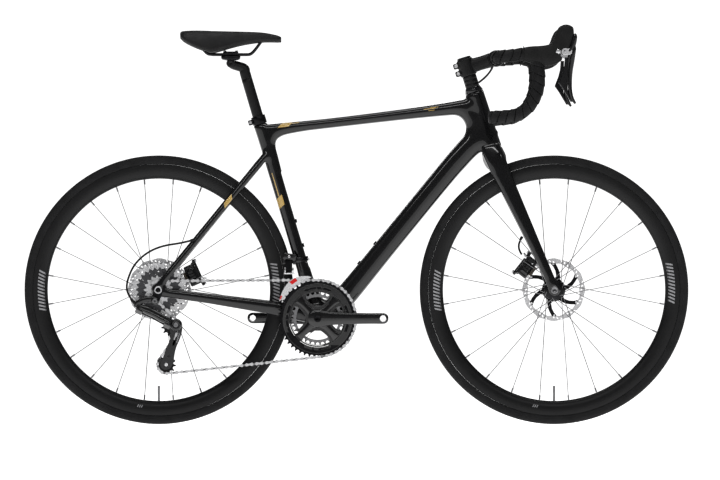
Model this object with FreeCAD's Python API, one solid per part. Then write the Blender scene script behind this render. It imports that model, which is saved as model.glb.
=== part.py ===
"""Road bicycle with disc brakes: one STEP file per sub-part, in millimetres.

+X points forward, +Y to the rider's left, +Z up. The origin is on the ground, midway between the two
axles in the bicycle's centre plane. The drive side is the right side, -Y.
"""

import FreeCAD, Part
import math
import os

os.makedirs("parts", exist_ok=True)
V = FreeCAD.Vector

# Wheels
WHEELBASE = 1000.0
TYRE_RADIUS = 340.0
RIM_OUTER = 318.0
RIM_INNER = 281.0
SPOKES = 24
AXLE_RADIUS = 6.0
ROTOR_RADIUS = 80.0
ROTOR_Y = {"front": 38.0, "rear": 55.5}
RUNNING_FIT = 0.06

# Frame
BB = V(-98, 0, 268)
BB_HALF = 43.2
SEAT_ANGLE = math.radians(73.5)
HEAD_ANGLE = math.radians(73.0)
FORK_RAKE = 47.0
HEAD_LOW_Z = 695.0
HEAD_LENGTH = 151.6
SEAT_TUBE_LENGTH = 512.0
SEATPOST_RADIUS = 13.6
STEERER_RADIUS = 14.3

# Drive
PITCH = 12.7
ROLLER_RADIUS = 3.85
STRAIGHT_LINKS = 1.6
RING_TEETH = {"large": 48, "small": 32}
RING_Y = {"large": -47.5, "small": -41.5}
COGS = [11, 12, 13, 14, 15, 17, 19, 21, 24, 27, 30, 34]
COG_Y = -62.0
COG_STEP = 40.0 / 11
PULLEY_TEETH = 11
CRANK_LENGTH = 165.0
PEDAL_THREAD_RADIUS = 7.0

# Rear derailleur
HANGER_BOLT = V(-508, -79, 312)
P_PIVOT = V(-455, 0, 252)
UPPER_PULLEY = V(-468, COG_Y, 248)
CAGE_LENGTH = 103.6
LINK_VECTOR = V(63, 0, -32)
LINK_GAP = 12.0

# Cockpit and saddle
BAR_CENTRE = V(353, 0, 925)
BAR_HALF = 205.0
BAR_RADIUS = 11.9
CLAMP_RADIUS = 15.9
TAPE_RADIUS = 15.3
LEVER_PIVOT = V(522, -BAR_HALF, 938)
SADDLE_PIVOT = V(-318, 0, 913)
RAIL_Z = 935.0
RAIL_Y = 22.0
CABLE_RADIUS = 2.5

X = V(1, 0, 0)
Y = V(0, 1, 0)
Z = V(0, 0, 1)
REAR = V(-WHEELBASE / 2, 0, TYRE_RADIUS)
FRONT = V(WHEELBASE / 2, 0, TYRE_RADIUS)
SEAT_UP = V(-math.cos(SEAT_ANGLE), 0, math.sin(SEAT_ANGLE))
STEER_UP = V(-math.cos(HEAD_ANGLE), 0, math.sin(HEAD_ANGLE))
STEER_FOOT_X = FRONT.x - FORK_RAKE / math.sin(HEAD_ANGLE)


def steer_point(z):
    """The point of the steering axis at height z."""
    return V(STEER_FOOT_X - (z - TYRE_RADIUS) / math.tan(HEAD_ANGLE), 0, z)


HEAD_LOW = steer_point(HEAD_LOW_Z)
HEAD_TOP = HEAD_LOW + STEER_UP * HEAD_LENGTH


def save(name, *shapes):
    """Writes one sub-part; several shapes stay separate solids of it."""
    shape = shapes[0] if len(shapes) == 1 else Part.makeCompound(list(shapes))
    shape.exportStep(f"parts/{name}.step")


def mirrored(shape):
    return shape.mirror(V(0, 0, 0), Y)


def both_sides(shape):
    return [shape, mirrored(shape)]


def cylinder(start, end, radius):
    """A round bar from one point to another."""
    return Part.makeCylinder(radius, (end - start).Length, start, end - start)


def across(centre, radius, y_low, y_high):
    """A round bar along Y through a point of the side view."""
    return cylinder(V(centre.x, y_low, centre.z), V(centre.x, y_high, centre.z), radius)


def ring_bar(centre, outer, inner, y_low, y_high):
    return across(centre, outer, y_low, y_high).cut(across(centre, inner, y_low - 1, y_high + 1))


def oval(centre, along, depth, width, power=2.0, steps=16):
    """A rounded cross-section square to a direction in the side view; depth lies in that plane."""
    t = V(along)
    t.normalize()
    side = Y.cross(t)
    points = []
    for i in range(steps):
        a = 2 * math.pi * i / steps
        c, s = math.cos(a), math.sin(a)
        d = depth / 2 * math.copysign(abs(c) ** (2 / power), c)
        w = width / 2 * math.copysign(abs(s) ** (2 / power), s)
        points.append(centre + side * d + Y * w)
    curve = Part.BSplineCurve()
    curve.interpolate(points, PeriodicFlag=True)
    return Part.Wire([curve.toShape()])


def loft(stations, power=2.0):
    """A solid through rounded sections: each station is centre, direction, depth, width."""
    return Part.makeLoft([oval(*s, power) for s in stations], True, False)


def side_plate(points, y_low, y_high):
    """A flat plate whose outline is given in the side view as (x, z) points."""
    wire = Part.makePolygon([V(x, y_low, z) for x, z in points + points[:1]])
    return Part.Face(wire).extrude(V(0, y_high - y_low, 0))


def bar_plate(a, b, radius_a, radius_b, y_low, y_high):
    """A plate with a round end about each of two side-view points."""
    d = V(b.x - a.x, 0, b.z - a.z)
    run = d.Length
    d.normalize()
    n = V(-d.z, 0, d.x)
    lean = math.asin((radius_a - radius_b) / run)
    tangent = [d * math.sin(lean) + n * (k * math.cos(lean)) for k in (1, -1)]
    corners = [a + tangent[0] * radius_a, b + tangent[0] * radius_b]
    corners += [b + tangent[1] * radius_b, a + tangent[1] * radius_a]
    plate = side_plate([(p.x, p.z) for p in corners], y_low, y_high)
    ends = [across(a, radius_a, y_low, y_high), across(b, radius_b, y_low, y_high)]
    return plate.multiFuse(ends).removeSplitter()


def box(low, high):
    return Part.makeBox(high.x - low.x, high.y - low.y, high.z - low.z, low)


def turned(outline, centre):
    """A solid of revolution about the line along Y through centre; outline is (radius, y) points."""
    wire = Part.makePolygon([centre + V(r, y, 0) for r, y in outline + outline[:1]])
    return Part.Face(wire).revolve(centre, Y, 360)


def rounded_path(points, share=0.45):
    """Straight runs joined by tangent arcs, as wide as the runs beside each point allow."""
    edges = []
    start = points[0]
    for i in range(1, len(points) - 1):
        before, here, after = points[i - 1], points[i], points[i + 1]
        u = (here - before).normalize()
        w = (after - here).normalize()
        turn = u.getAngle(w)
        trim = share * min((here - before).Length, (after - here).Length)
        a, b = here - u * trim, here + w * trim
        inward = (w - u).normalize()
        radius = trim / math.tan(turn / 2)
        middle = here + inward * (radius / math.cos(turn / 2) - radius)
        edges.append(Part.LineSegment(start, a).toShape())
        edges.append(Part.Arc(a, middle, b).toShape())
        start = b
    edges.append(Part.LineSegment(start, points[-1]).toShape())
    return Part.Wire(edges)


def tube(points, outer, inner=0.0, share=0.45):
    """A round tube along a path with large arcs; hollow if an inner radius is given."""
    path = rounded_path(points, share)
    along = points[1] - points[0]
    face = Part.Face(Part.Wire([Part.makeCircle(outer, points[0], along)]))
    solid = path.makePipe(face)
    if inner:
        bore = Part.Face(Part.Wire([Part.makeCircle(inner, points[0], along)]))
        solid = solid.cut(path.makePipe(bore))
    return solid


def cord(name, points, radius):
    """A tube for a cable or hose; prints its arcs' radii and its volume against section times length."""
    path = rounded_path(points)
    solid = tube(points, radius)
    radii = [round(e.Curve.Radius, 1) for e in path.Edges if isinstance(e.Curve, Part.Circle)]
    share = solid.Volume / (math.pi * radius ** 2 * path.Length)
    print(name, "length", round(path.Length, 1), "arc radii", radii, "volume share", round(share, 4))
    return solid


def pitch_radius(teeth):
    return PITCH / (2 * math.sin(math.pi / teeth))


def sprocket(centre, teeth, y_mid, thickness, bore, phase):
    """A toothed disc; phase is the angle of one tooth gap, counted from +X towards +Z."""
    radius = pitch_radius(teeth)
    tip = radius + 2.4
    gap = ROLLER_RADIUS + 0.3
    step = 2 * math.pi / teeth
    half_gap = math.asin(gap / radius)
    low = radius - gap
    y0 = y_mid - thickness / 2

    def at(r, a):
        return V(centre.x + r * math.cos(a), y0, centre.z + r * math.sin(a))

    edges = []
    for i in range(teeth):
        a = phase + i * step
        left, bottom, right = at(radius, a - half_gap), at(low, a), at(radius, a + half_gap)
        next_left = at(radius, a + step - half_gap)
        tip_a, tip_b = at(tip, a + step / 2 - 0.7 / tip), at(tip, a + step / 2 + 0.7 / tip)
        edges.append(Part.Arc(left, bottom, right).toShape())
        edges.append(Part.LineSegment(right, tip_a).toShape())
        edges.append(Part.LineSegment(tip_a, tip_b).toShape())
        edges.append(Part.LineSegment(tip_b, next_left).toShape())
    disc = Part.Face(Part.Wire(edges)).extrude(V(0, thickness, 0))
    return disc.cut(across(centre, bore, y0 - 1, y0 + thickness + 1))


# ---------------------------------------------------------------- chain route


def chain_route(lower):
    """Tangent runs and arcs around ring, cog, upper and lower pulley, as (length in pitches, place)."""
    wheels = [
        (BB, RING_TEETH["large"], 1, RING_Y["large"]),
        (REAR, COGS[0], 1, COG_Y),
        (UPPER_PULLEY, PULLEY_TEETH, -1, COG_Y),
        (lower, PULLEY_TEETH, 1, COG_Y),
    ]
    runs = []
    for i, (a, teeth_a, sense_a, y_a) in enumerate(wheels):
        b, teeth_b, sense_b, y_b = wheels[(i + 1) % len(wheels)]
        ra, rb = pitch_radius(teeth_a) * sense_a, pitch_radius(teeth_b) * sense_b
        dx, dz = b.x - a.x, b.z - a.z
        heading = math.atan2(dz, dx) - math.asin((rb - ra) / math.hypot(dx, dz))
        side = V(math.sin(heading), 0, -math.cos(heading))
        p = V(a.x, y_a, a.z) + side * ra
        q = V(b.x, y_b, b.z) + side * rb
        runs.append((heading, p, q))
    route = []
    for i, (centre, teeth, sense, y) in enumerate(wheels):
        came, left = runs[i - 1][0], runs[i][0]
        turn = (left - came) * sense % (2 * math.pi)
        begin = came - sense * math.pi / 2
        route.append(("arc", turn * teeth / (2 * math.pi), (centre, teeth, sense, y, begin)))
        _, p, q = runs[i]
        route.append(("run", (q - p).Length / PITCH, (p, q)))
    return route


def cage_tip(angle):
    """The lower pulley's centre for a cage angle, counted from straight down towards the rear."""
    return V(P_PIVOT.x - CAGE_LENGTH * math.sin(angle), COG_Y, P_PIVOT.z - CAGE_LENGTH * math.cos(angle))


def solve_cage():
    """The cage angle at which the chain is a whole, even number of links."""
    low, high = math.radians(2), math.radians(28)
    total = sum(part[1] for part in chain_route(cage_tip(math.radians(15))))
    links = 2 * round(total / 2)
    for _ in range(60):
        mid = (low + high) / 2
        if sum(part[1] for part in chain_route(cage_tip(mid))) < links:
            low = mid
        else:
            high = mid
    return mid, links


CAGE_ANGLE, CHAIN_LINKS = solve_cage()
LOWER_PULLEY = cage_tip(CAGE_ANGLE)
CHAIN_ROUTE = chain_route(LOWER_PULLEY)


def chain_place(s):
    """The roller centre at s pitches along the route."""
    for kind, length, data in CHAIN_ROUTE:
        if s <= length:
            break
        s -= length
    if kind == "run":
        p, q = data
        place = p + (q - p) * (s / length)
        steady = min(STRAIGHT_LINKS, length / 3)
        share = (s - steady) / (length - 2 * steady)
        place.y = p.y + (q.y - p.y) * min(max(share, 0.0), 1.0)
        return place
    centre, teeth, sense, y, begin = data
    a = begin + sense * s * 2 * math.pi / teeth
    radius = pitch_radius(teeth)
    return V(centre.x + radius * math.cos(a), y, centre.z + radius * math.sin(a))


def gap_phase(centre, number):
    """The angle of a roller on one of the four toothed wheels, so that its gaps meet the rollers."""
    before = sum(part[1] for part in CHAIN_ROUTE[: 2 * number])
    p = chain_place(math.ceil(before + 0.01))
    return math.atan2(p.z - centre.z, p.x - centre.x)


def chain_link(a, b, outer):
    """One link between two roller centres: two plates, with rollers on inner and pins on outer links."""
    d = b - a
    run = V(d.x, 0, d.z)
    turn = math.degrees(math.atan2(-run.z, run.x))
    y_in, thick = (1.85, 0.65) if outer else (1.15, 0.6)
    start, end = V(0, 0, 0), V(run.Length, 0, 0)
    plates = []
    for y0 in (y_in, -y_in - thick):
        plates.append(bar_plate(start, end, 4.0, 4.0, y0, y0 + thick))
    if outer:
        joined = plates[0].multiFuse([plates[1]] + [across(p, 1.7, -2.55, 2.55) for p in (start, end)])
    else:
        rollers = [across(p, ROLLER_RADIUS, -1.2, 1.2) for p in (start, end)]
        bores = [across(p, 1.8, -4, 4) for p in (start, end)]
        joined = plates[0].multiFuse([plates[1]] + rollers).cut(Part.makeCompound(bores))
    joined = joined.removeSplitter()
    joined.rotate(V(0, 0, 0), Y, turn)
    joined.translate(V(a.x, (a.y + b.y) / 2, a.z))
    return joined


def make_chain():
    places = [chain_place(i) for i in range(CHAIN_LINKS)]
    links = []
    for i, place in enumerate(places):
        links.append(chain_link(place, places[(i + 1) % CHAIN_LINKS], i % 2 == 1))
    save("chain", *links)


# ---------------------------------------------------------------------- frame


def seat_point(distance):
    return BB + SEAT_UP * distance


def make_main_frame():
    """Head tube, top tube, down tube, seat tube and bottom bracket shell, meeting face to face."""
    shell = across(BB, 24.5, -BB_HALF, BB_HALF)
    head = Part.makeCone(26.5, 23.5, HEAD_LENGTH, HEAD_LOW, STEER_UP)
    seat = seat_filler()
    down_way = V(198, 0, 243)
    down_way.normalize()
    down_mid = V(80.7, 0, 456.3)
    down = [(-228, 44, 60), (-150, 46, 50), (60, 46, 44), (260, 46, 42), (385, 58, 40)]
    down_tube = loft([(down_mid + down_way * d, down_way, h, w) for d, h, w in down], 2.3)
    down_bore = loft([(down_mid + down_way * d, down_way, h - 6, w - 6) for d, h, w in down[1:-1]], 2.3)
    top_way = V(408.8, 0, 48.8)
    top_way.normalize()
    top_start = V(-240, 0, 741)
    top = [(0, 31, 26), (50, 27, 28), (200, 25, 32), (380, 30, 34), (545, 44, 36)]
    top_tube = loft([(top_start + top_way * d, top_way, h, w) for d, h, w in top], 2.2)
    top_bore = loft([(top_start + top_way * d, top_way, h - 6, w - 6) for d, h, w in top[1:-1]], 2.2)
    seat = seat.cut(shell)
    down_tube = down_tube.cut(down_bore).cut(Part.makeCompound([shell, head])).cut(seat)
    top_tube = top_tube.cut(top_bore).cut(Part.makeCompound([seat, head]))
    post_bore = cylinder(seat_point(262), seat_point(560), SEATPOST_RADIUS + 0.05)
    seat = seat.cut(post_bore).cut(cylinder(seat_point(20), seat_point(262), 10.5))
    shell = shell.cut(across(BB, 20.5, -60, 60))
    head = head.cut(cylinder(HEAD_LOW - STEER_UP * 5, HEAD_TOP + STEER_UP * 5, 18.6))
    head = head.cut(cylinder(HEAD_LOW - STEER_UP * 5, HEAD_LOW + STEER_UP * 12, 23.45))
    head = head.cut(cylinder(HEAD_TOP - STEER_UP * 9, HEAD_TOP + STEER_UP * 5, 20.95))
    solids = []
    for piece in (head, seat, down_tube, top_tube, shell):
        solids.append(max(piece.Solids, key=lambda s: s.Volume))
    save("main_frame", *solids)


def make_rear_triangle():
    """Two chainstays, two seatstays and two dropouts."""
    dropout = bar_plate(V(-500, 0, 340), V(-478, 0, 333), 15, 10.5, -79, -71.2)
    dropout = dropout.fuse(bar_plate(V(-500, 0, 340), V(-508, 0, 316), 12, 9, -75, -71.2))
    tab = bar_plate(V(-500, 0, 340), V(-486, 0, 365), 12, 8, -79, -71.2)
    dropout = dropout.fuse(tab).removeSplitter().cut(across(REAR, AXLE_RADIUS + 0.05, -90, -60))
    stations = [
        (-476, -74.8, 331, 21, 8), (-440, -70.5, 327, 22, 12), (-380, -62, 319, 23, 15),
        (-330, -53.5, 312, 25, 17), (-230, -39, 297, 29, 17), (-200, -33.8, 292, 31, 15.5),
        (-165, -30.0, 286, 32, 14.6), (-118, -29.4, 276, 33, 14.6),
    ]
    way = V(390, 0, -60)
    chainstay = loft([(V(x, y, z), way, h, w) for x, y, z, h, w in stations], 2.6)
    up = V(261, 0, 320)
    seat_stations = [
        (-492, -75.6, 358, 16, 7.4), (-470, -71.8, 385, 16.5, 10), (-400, -57.5, 471, 17, 12.5),
        (-330, -41.5, 557, 17, 13), (-275, -27.5, 624, 17, 12.5), (-226, -15.5, 684, 18, 12),
    ]
    seatstay = loft([(V(x, y, z), up, h, w) for x, y, z, h, w in seat_stations], 2.4)
    left_drop = mirrored(dropout)
    solids = []
    filled = Part.makeCompound([seat_filler(), across(BB, 24.5, -BB_HALF, BB_HALF)])
    for stay in (chainstay, seatstay):
        cut = stay.cut(dropout).cut(filled)
        solids.append(max(cut.Solids, key=lambda s: s.Volume))
    solids.append(dropout)
    save("rear_triangle", *solids, *[mirrored(s) for s in solids[:2]], left_drop)
    return dropout


def seat_filler():
    """The seat tube's outer form without its bore."""
    return loft([
        (seat_point(8), SEAT_UP, 36, 44),
        (seat_point(70), SEAT_UP, 29, 37),
        (seat_point(300), SEAT_UP, 29, 33),
        (seat_point(430), SEAT_UP, 31, 33),
        (seat_point(SEAT_TUBE_LENGTH), SEAT_UP, 32.6, 32.6),
    ])


def make_frame_small_parts(dropout):
    hanger = bar_plate(V(-508, 0, 312), V(-500, 0, 338), 9.5, 11, -79, -75.2)
    hanger = hanger.cut(dropout).cut(across(HANGER_BOLT, 5.05, -90, -60))
    hanger = max(hanger.Solids, key=lambda s: s.Volume)
    save("derailleur_hanger", hanger)
    cups = []
    for side in (-1, 1):
        ends = sorted([side * 26.0, side * BB_HALF])
        cups.append(ring_bar(BB, 20.45, 12 + RUNNING_FIT, *ends))
    save("bottom_bracket", *cups)
    lower = cylinder(HEAD_LOW, HEAD_LOW + STEER_UP * 11.5, 23.4)
    lower = lower.cut(cylinder(HEAD_LOW - STEER_UP, HEAD_LOW + STEER_UP * 13, 17 + RUNNING_FIT))
    upper = cylinder(HEAD_TOP - STEER_UP * 8.5, HEAD_TOP, 20.9)
    inner = cylinder(HEAD_TOP - STEER_UP * 12, HEAD_TOP + STEER_UP, STEERER_RADIUS + RUNNING_FIT)
    save("headset_bearings", lower, upper.cut(inner))
    foot = seat_point(SEAT_TUBE_LENGTH)
    collar = cylinder(foot + SEAT_UP * 0.1, foot + SEAT_UP * 22, 18.0)
    rear = SEAT_UP.cross(Y)
    ear_mid = foot + SEAT_UP * 11 + rear * 21
    ear = Part.makeBox(14, 18, 14, V(-7, -9, -7))
    ear.rotate(V(0, 0, 0), Y, -(90 - math.degrees(SEAT_ANGLE)))
    ear.translate(ear_mid)
    collar = collar.fuse(ear).cut(cylinder(foot - SEAT_UP, foot + SEAT_UP * 30, SEATPOST_RADIUS + 0.05))
    slot = Part.makeBox(16, 1.6, 40, V(-8, -0.8, -20))
    slot.rotate(V(0, 0, 0), Y, -(90 - math.degrees(SEAT_ANGLE)))
    slot.translate(ear_mid)
    bolt_place = ear_mid + rear * 1.5
    collar = collar.cut(slot).cut(across(bolt_place, 2.6, -20, 20))
    save("seat_clamp_collar", max(collar.Solids, key=lambda s: s.Volume))
    bolts = [across(bolt_place, 2.5, -9, 9), across(bolt_place, 4, -13, -9.1)]
    down_way = V(198, 0, 243).normalize()
    down_out = V(-243, 0, 198).normalize()
    for distance in (-84, -20):
        at = V(80.7, 0, 456.3) + down_way * distance + down_out * 23.6
        bolts.append(cylinder(at, at + down_out * 6, 5.0))
    seat_out = V(SEAT_UP.z, 0, -SEAT_UP.x)
    for distance in (188, 252):
        at = seat_point(distance) + seat_out * 15.0
        bolts.append(cylinder(at, at + seat_out * 4.5, 4.5))
    hanger_bolt = across(HANGER_BOLT, 5.0, -94.5, -75.2)
    bolts.append(hanger_bolt)
    save("frame_bolts", *bolts)
    axle = across(REAR, AXLE_RADIUS, -80.5, 80).fuse(across(REAR, 9.5, 79.2, 84))
    save("rear_thru_axle", axle.cut(across(REAR, 3.0, -82, -60)))


def make_caliper(name, centre, y, lean, neighbour):
    """A two-piston caliper over the rotor's edge; lean turns it about Y. Returns its pads."""
    body = Part.makeBox(56, 32, 30, V(-28, -16, -14))
    body = body.makeFillet(6, body.Edges)
    slot = Part.makeBox(70, 10.6, 40, V(-35, -5.3, -28))
    foot = Part.makeBox(72, 12, 9, V(-36, 2, 13))
    holes = [cylinder(V(x, 8, 0), V(x, 8, 30), 2.6) for x in (-31, 31)]
    body = body.cut(slot).fuse(foot).removeSplitter().cut(Part.makeCompound(holes))
    screws = [cylinder(V(x, 8, 9.5), V(x, 8, 25), 2.5) for x in (-31, 31)]
    pads = []
    for side in (-1, 1):
        low, high = sorted([side * 1.35, side * 4.6])
        pads.append(Part.makeBox(26, high - low, 15, V(-13, low, -20)))
    for piece in [body] + screws + pads:
        piece.rotate(V(0, 0, 0), Y, lean)
        piece.translate(V(centre.x, y, centre.z))
    if neighbour:
        body = body.cut(neighbour)
        screws = [screw.cut(neighbour) for screw in screws]
    save(name, max(body.Solids, key=lambda s: s.Volume), *screws)
    return pads


# --------------------------------------------------------------------- wheels


def make_wheel(where, centre, hub_outline, flanges):
    tyre_wire = [
        Part.Arc(centre + V(318.4, 11.5, 0), centre + V(340, 0, 0), centre + V(318.4, -11.5, 0)).toShape(),
    ]
    lip = [(318.4, -11.5), (318.4, -10.2), (311.6, -10.2), (311.6, -8.3), (319, -9.4)]
    for (r0, y0), (r1, y1) in zip(lip[:-1], lip[1:]):
        tyre_wire.append(Part.LineSegment(centre + V(r0, y0, 0), centre + V(r1, y1, 0)).toShape())
    inside = Part.Arc(centre + V(319, -9.4, 0), centre + V(337.6, 0, 0), centre + V(319, 9.4, 0))
    tyre_wire.append(inside.toShape())
    for (r0, y0), (r1, y1) in zip(lip[::-1][:-1], lip[::-1][1:]):
        tyre_wire.append(Part.LineSegment(centre + V(r0, -y0, 0), centre + V(r1, -y1, 0)).toShape())
    save(f"{where}_tyre", Part.Face(Part.Wire(tyre_wire)).revolve(centre, Y, 360))
    half = [(RIM_OUTER, 12.3), (RIM_OUTER, 10.4), (311, 10.4)]
    outside = [(305, -13.0), (292, -11.0), (284, -6.0), (RIM_INNER, 0), (284, 6.0), (292, 11.0), (305, 13.0)]
    outline = half + [(r, -y) for r, y in half[::-1]] + outside
    cavity = [(307.5, 10.5), (307.5, -10.5), (292, -8.6), (285.5, -3.5), (285.5, 3.5), (292, 8.6)]
    rim = turned(outline, centre).cut(turned(cavity, centre))
    valve_hole = cylinder(centre - Z * 270, centre - Z * 315, 3.3)
    save(f"{where}_rim", rim.cut(valve_hole))
    spokes = []
    for i in range(SPOKES):
        rim_angle = 2 * math.pi * (i + 0.5) / SPOKES
        side = i % 2
        lean = math.radians(52.5) * (1 if (i // 2) % 2 else -1)
        offset = 2.4 if lean > 0 else -2.4
        hub_angle = rim_angle + lean
        start = V(20.5 * math.cos(hub_angle), flanges[side] + offset, 20.5 * math.sin(hub_angle))
        end = V(RIM_INNER * math.cos(rim_angle), 0, RIM_INNER * math.sin(rim_angle))
        way = (end - start).normalize()
        spoke = cylinder(centre + start, centre + end - way * 9, 0.95)
        nipple = cylinder(centre + end - way * 12, centre + end - way * 0.4, 2.1)
        spokes.append(spoke.fuse(nipple).removeSplitter())
    spokes.append(cylinder(centre - Z * 243, centre - Z * 306, 3.0))
    save(f"{where}_spokes", *spokes)
    save(f"{where}_hub", turned(hub_outline, centre))
    y = ROTOR_Y[where]
    track = ring_bar(centre, ROTOR_RADIUS, 65.0, y - 0.9, y + 0.9)
    holes = []
    for i in range(36):
        a = 2 * math.pi * i / 36
        r = 69.5 + 2.6 * (i % 3)
        holes.append(across(centre + V(r * math.cos(a), 0, r * math.sin(a)), 1.9, y - 3, y + 3))
    spider = ring_bar(centre, 31.0, 17.1, y - 0.9, y + 0.9)
    for i in range(6):
        a, b = 2 * math.pi * i / 6, 2 * math.pi * (i + 0.35) / 6
        inner = centre + V(26 * math.cos(a), 0, 26 * math.sin(a))
        outer = centre + V(68 * math.cos(b), 0, 68 * math.sin(b))
        spider = spider.fuse(bar_plate(inner, outer, 5.0, 3.5, y - 0.9, y + 0.9))
    rotor = track.cut(Part.makeCompound(holes)).fuse(spider).removeSplitter()
    save(f"{where}_rotor", rotor)


def make_wheels():
    bore = AXLE_RADIUS + 0.05
    front = [
        (bore, -49.6), (10.5, -49.6), (10.5, -26), (25, -25.5), (25, -22.5), (13, -19), (13, 17),
        (25, 20.5), (25, 23.5), (17, 25), (17, 41), (10.5, 41.5), (10.5, 49.6), (bore, 49.6),
    ]
    make_wheel("front", FRONT, front, (-24, 22))
    rear = [
        (bore, -20.2), (17, -20.2), (25, -20.0), (25, -17.0), (14, -13), (14, 28), (25, 32.5),
        (25, 35.5), (17, 37), (17, 59), (10.5, 60), (10.5, 70.7), (bore, 70.7),
    ]
    make_wheel("rear", REAR, rear, (-16.4, 34))


def make_cassette():
    phase = gap_phase(REAR, 1)
    pieces = []
    for i, teeth in enumerate(COGS):
        y = COG_Y + i * COG_STEP
        bore = 17.0 if teeth < 24 else pitch_radius(teeth) - 14
        disc = sprocket(REAR, teeth, y, 1.6, bore if teeth > 12 else 15.6, phase)
        if teeth >= 24:
            hub = ring_bar(REAR, 20, 17.0, y - 0.8, y + 0.8)
            arms = []
            for k in range(5):
                a = 2 * math.pi * k / 5
                tip = REAR + V(math.cos(a), 0, math.sin(a)) * (bore + 3)
                root = REAR + V(math.cos(a), 0, math.sin(a)) * 18.5
                arms.append(bar_plate(root, tip, 3.4, 3.0, y - 0.8, y + 0.8))
            hub = hub.multiFuse(arms).cut(across(REAR, 17.0, -90, 0))
            disc = disc.fuse(hub).removeSplitter()
        pieces.append(disc)
    for i in range(len(COGS) - 1):
        y = COG_Y + i * COG_STEP + 0.95
        pieces.append(ring_bar(REAR, 19.0 if i else 17.6, 17.05 if i else 15.6, y, y + COG_STEP - 1.9))
    body = turned([
        (AXLE_RADIUS + 0.05, -70.6), (9.5, -70.6), (9.5, -66), (14.5, -66), (14.5, -63), (15.5, -63),
        (15.5, -57.2), (16.9, -57.2), (16.9, -20.6), (AXLE_RADIUS + 0.05, -20.6),
    ], REAR)
    save("cassette", *pieces, body)


# ------------------------------------------------------------------- crankset


def make_crankset():
    spread = 55.0
    bolt_places = []
    for k in range(4):
        a = math.radians(45 + 90 * k)
        bolt_places.append(BB + V(spread * math.cos(a), 0, spread * math.sin(a)))
    for size in ("large", "small"):
        teeth = RING_TEETH[size]
        inner = 73.0 if size == "large" else 54.0
        y = RING_Y[size]
        phase = gap_phase(BB, 0) if size == "large" else 0.0
        ring = sprocket(BB, teeth, y, 1.8, inner, phase)
        tabs = []
        for place in bolt_places:
            out = (place - BB).normalize()
            tabs.append(bar_plate(place, BB + out * (inner + 3), 8.0, 10.0, y - 0.9, y + 0.9))
        holes = [across(p, 4.55, y - 3, y + 3) for p in bolt_places]
        ring = ring.multiFuse(tabs).removeSplitter().cut(Part.makeCompound(holes))
        save(f"chainring_{size}", ring)
    arm_way = V(1, 0, 0)
    stations = [
        (-24, 24, 12, -59.0), (-14, 40, 15, -59.0), (0, 45, 16, -59.0), (16, 40, 15, -59.4),
        (45, 33, 14, -61.2), (100, 28, 13, -64.5), (150, 27, 13, -67.0), (CRANK_LENGTH, 27, 13, -67.5),
        (176, 20, 12.6, -67.5),
    ]
    arm = loft([(BB + V(d, y, 0), arm_way, h, w) for d, h, w, y in stations], 3.0)
    eye = BB + arm_way * CRANK_LENGTH
    left_arm = arm.copy()
    left_arm.rotate(BB, V(0, 0, 1), 180)
    hub = across(BB, 20, -58, -43.9).fuse(across(BB, 12, -60, 66.8)).removeSplitter()
    bore = across(BB, 9, -80, 80)
    star = across(BB, 24, -46.2, -43.9)
    for place in bolt_places:
        star = star.fuse(bar_plate(BB, place, 14, 8, -46.2, -43.9))
    holes = [across(p, 4.55, -60, -30) for p in bolt_places]
    star = star.removeSplitter().cut(hub).cut(Part.makeCompound(holes))
    right = arm.cut(hub).cut(bore).cut(across(eye, PEDAL_THREAD_RADIUS, -90, -50))
    bolts = [across(p, 4.5, -50.2, -39.2) for p in bolt_places]
    arm_solid = max(right.Solids, key=lambda s: s.Volume)
    save("crank_arm_right", arm_solid, hub.cut(bore), star, *bolts)
    left_eye = BB - arm_way * CRANK_LENGTH
    left_arm = left_arm.cut(across(BB, 12.02, 0, 90)).cut(across(left_eye, PEDAL_THREAD_RADIUS, 50, 90))
    boss = ring_bar(BB, 19, 12.02, 46, 53)
    left = left_arm.fuse(boss)
    pinch = [cylinder(BB + V(-x, 62, -21), BB + V(-x, 62, -12.4), 2.5) for x in (-4.5, 4.5)]
    left = left.cut(Part.makeCompound([cylinder(BB + V(-x, 62, -25), BB + V(-x, 62, 0), 2.55)
                                       for x in (-4.5, 4.5)]))
    left = left.cut(across(BB, 12.02, 0, 90))
    save("crank_arm_left", max(left.Solids, key=lambda s: s.Volume), *pinch)


# ------------------------------------------------------------ rear derailleur

LINK_WAY = V(LINK_VECTOR).normalize()
SWEEP = V(0, 0.85, -0.53)
SWEEP_WAY = (SWEEP - LINK_WAY * SWEEP.dot(LINK_WAY)).normalize()
LINK_AXIS = LINK_WAY.cross(SWEEP_WAY)
P_LINK = V(-478, -84, 258)
B_LINK = P_LINK - LINK_VECTOR


def slanted(shape, at):
    """Places a shape made about Z, with X along the links, onto the slanted link axis at a point."""
    matrix = FreeCAD.Matrix(
        LINK_WAY.x, SWEEP_WAY.x, LINK_AXIS.x, at.x,
        LINK_WAY.y, SWEEP_WAY.y, LINK_AXIS.y, at.y,
        LINK_WAY.z, SWEEP_WAY.z, LINK_AXIS.z, at.z,
    )
    shape.Placement = FreeCAD.Placement(matrix)
    return shape


def flat_bar(a, b, radius, low, high):
    """A flat bar with round ends between two points of the XY plane."""
    d = (b - a).normalize()
    n = V(-d.y, d.x, 0)
    corners = [a + n * radius, b + n * radius, b - n * radius, a - n * radius, a + n * radius]
    plate = Part.Face(Part.makePolygon([p + Z * low for p in corners])).extrude(Z * (high - low))
    ends = [Part.makeCylinder(radius, high - low, p + Z * low, Z) for p in (a, b)]
    return plate.multiFuse(ends).removeSplitter()


def make_rd_link(name, offset, radius):
    length = LINK_VECTOR.Length
    bar = flat_bar(V(0, offset, 0), V(length, offset, 0), radius, -7, 7)
    for x in (0, length):
        bar = bar.cut(Part.makeCylinder(2 + RUNNING_FIT, 30, V(x, offset, -15), Z))
    save(name, slanted(bar, B_LINK))


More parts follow.
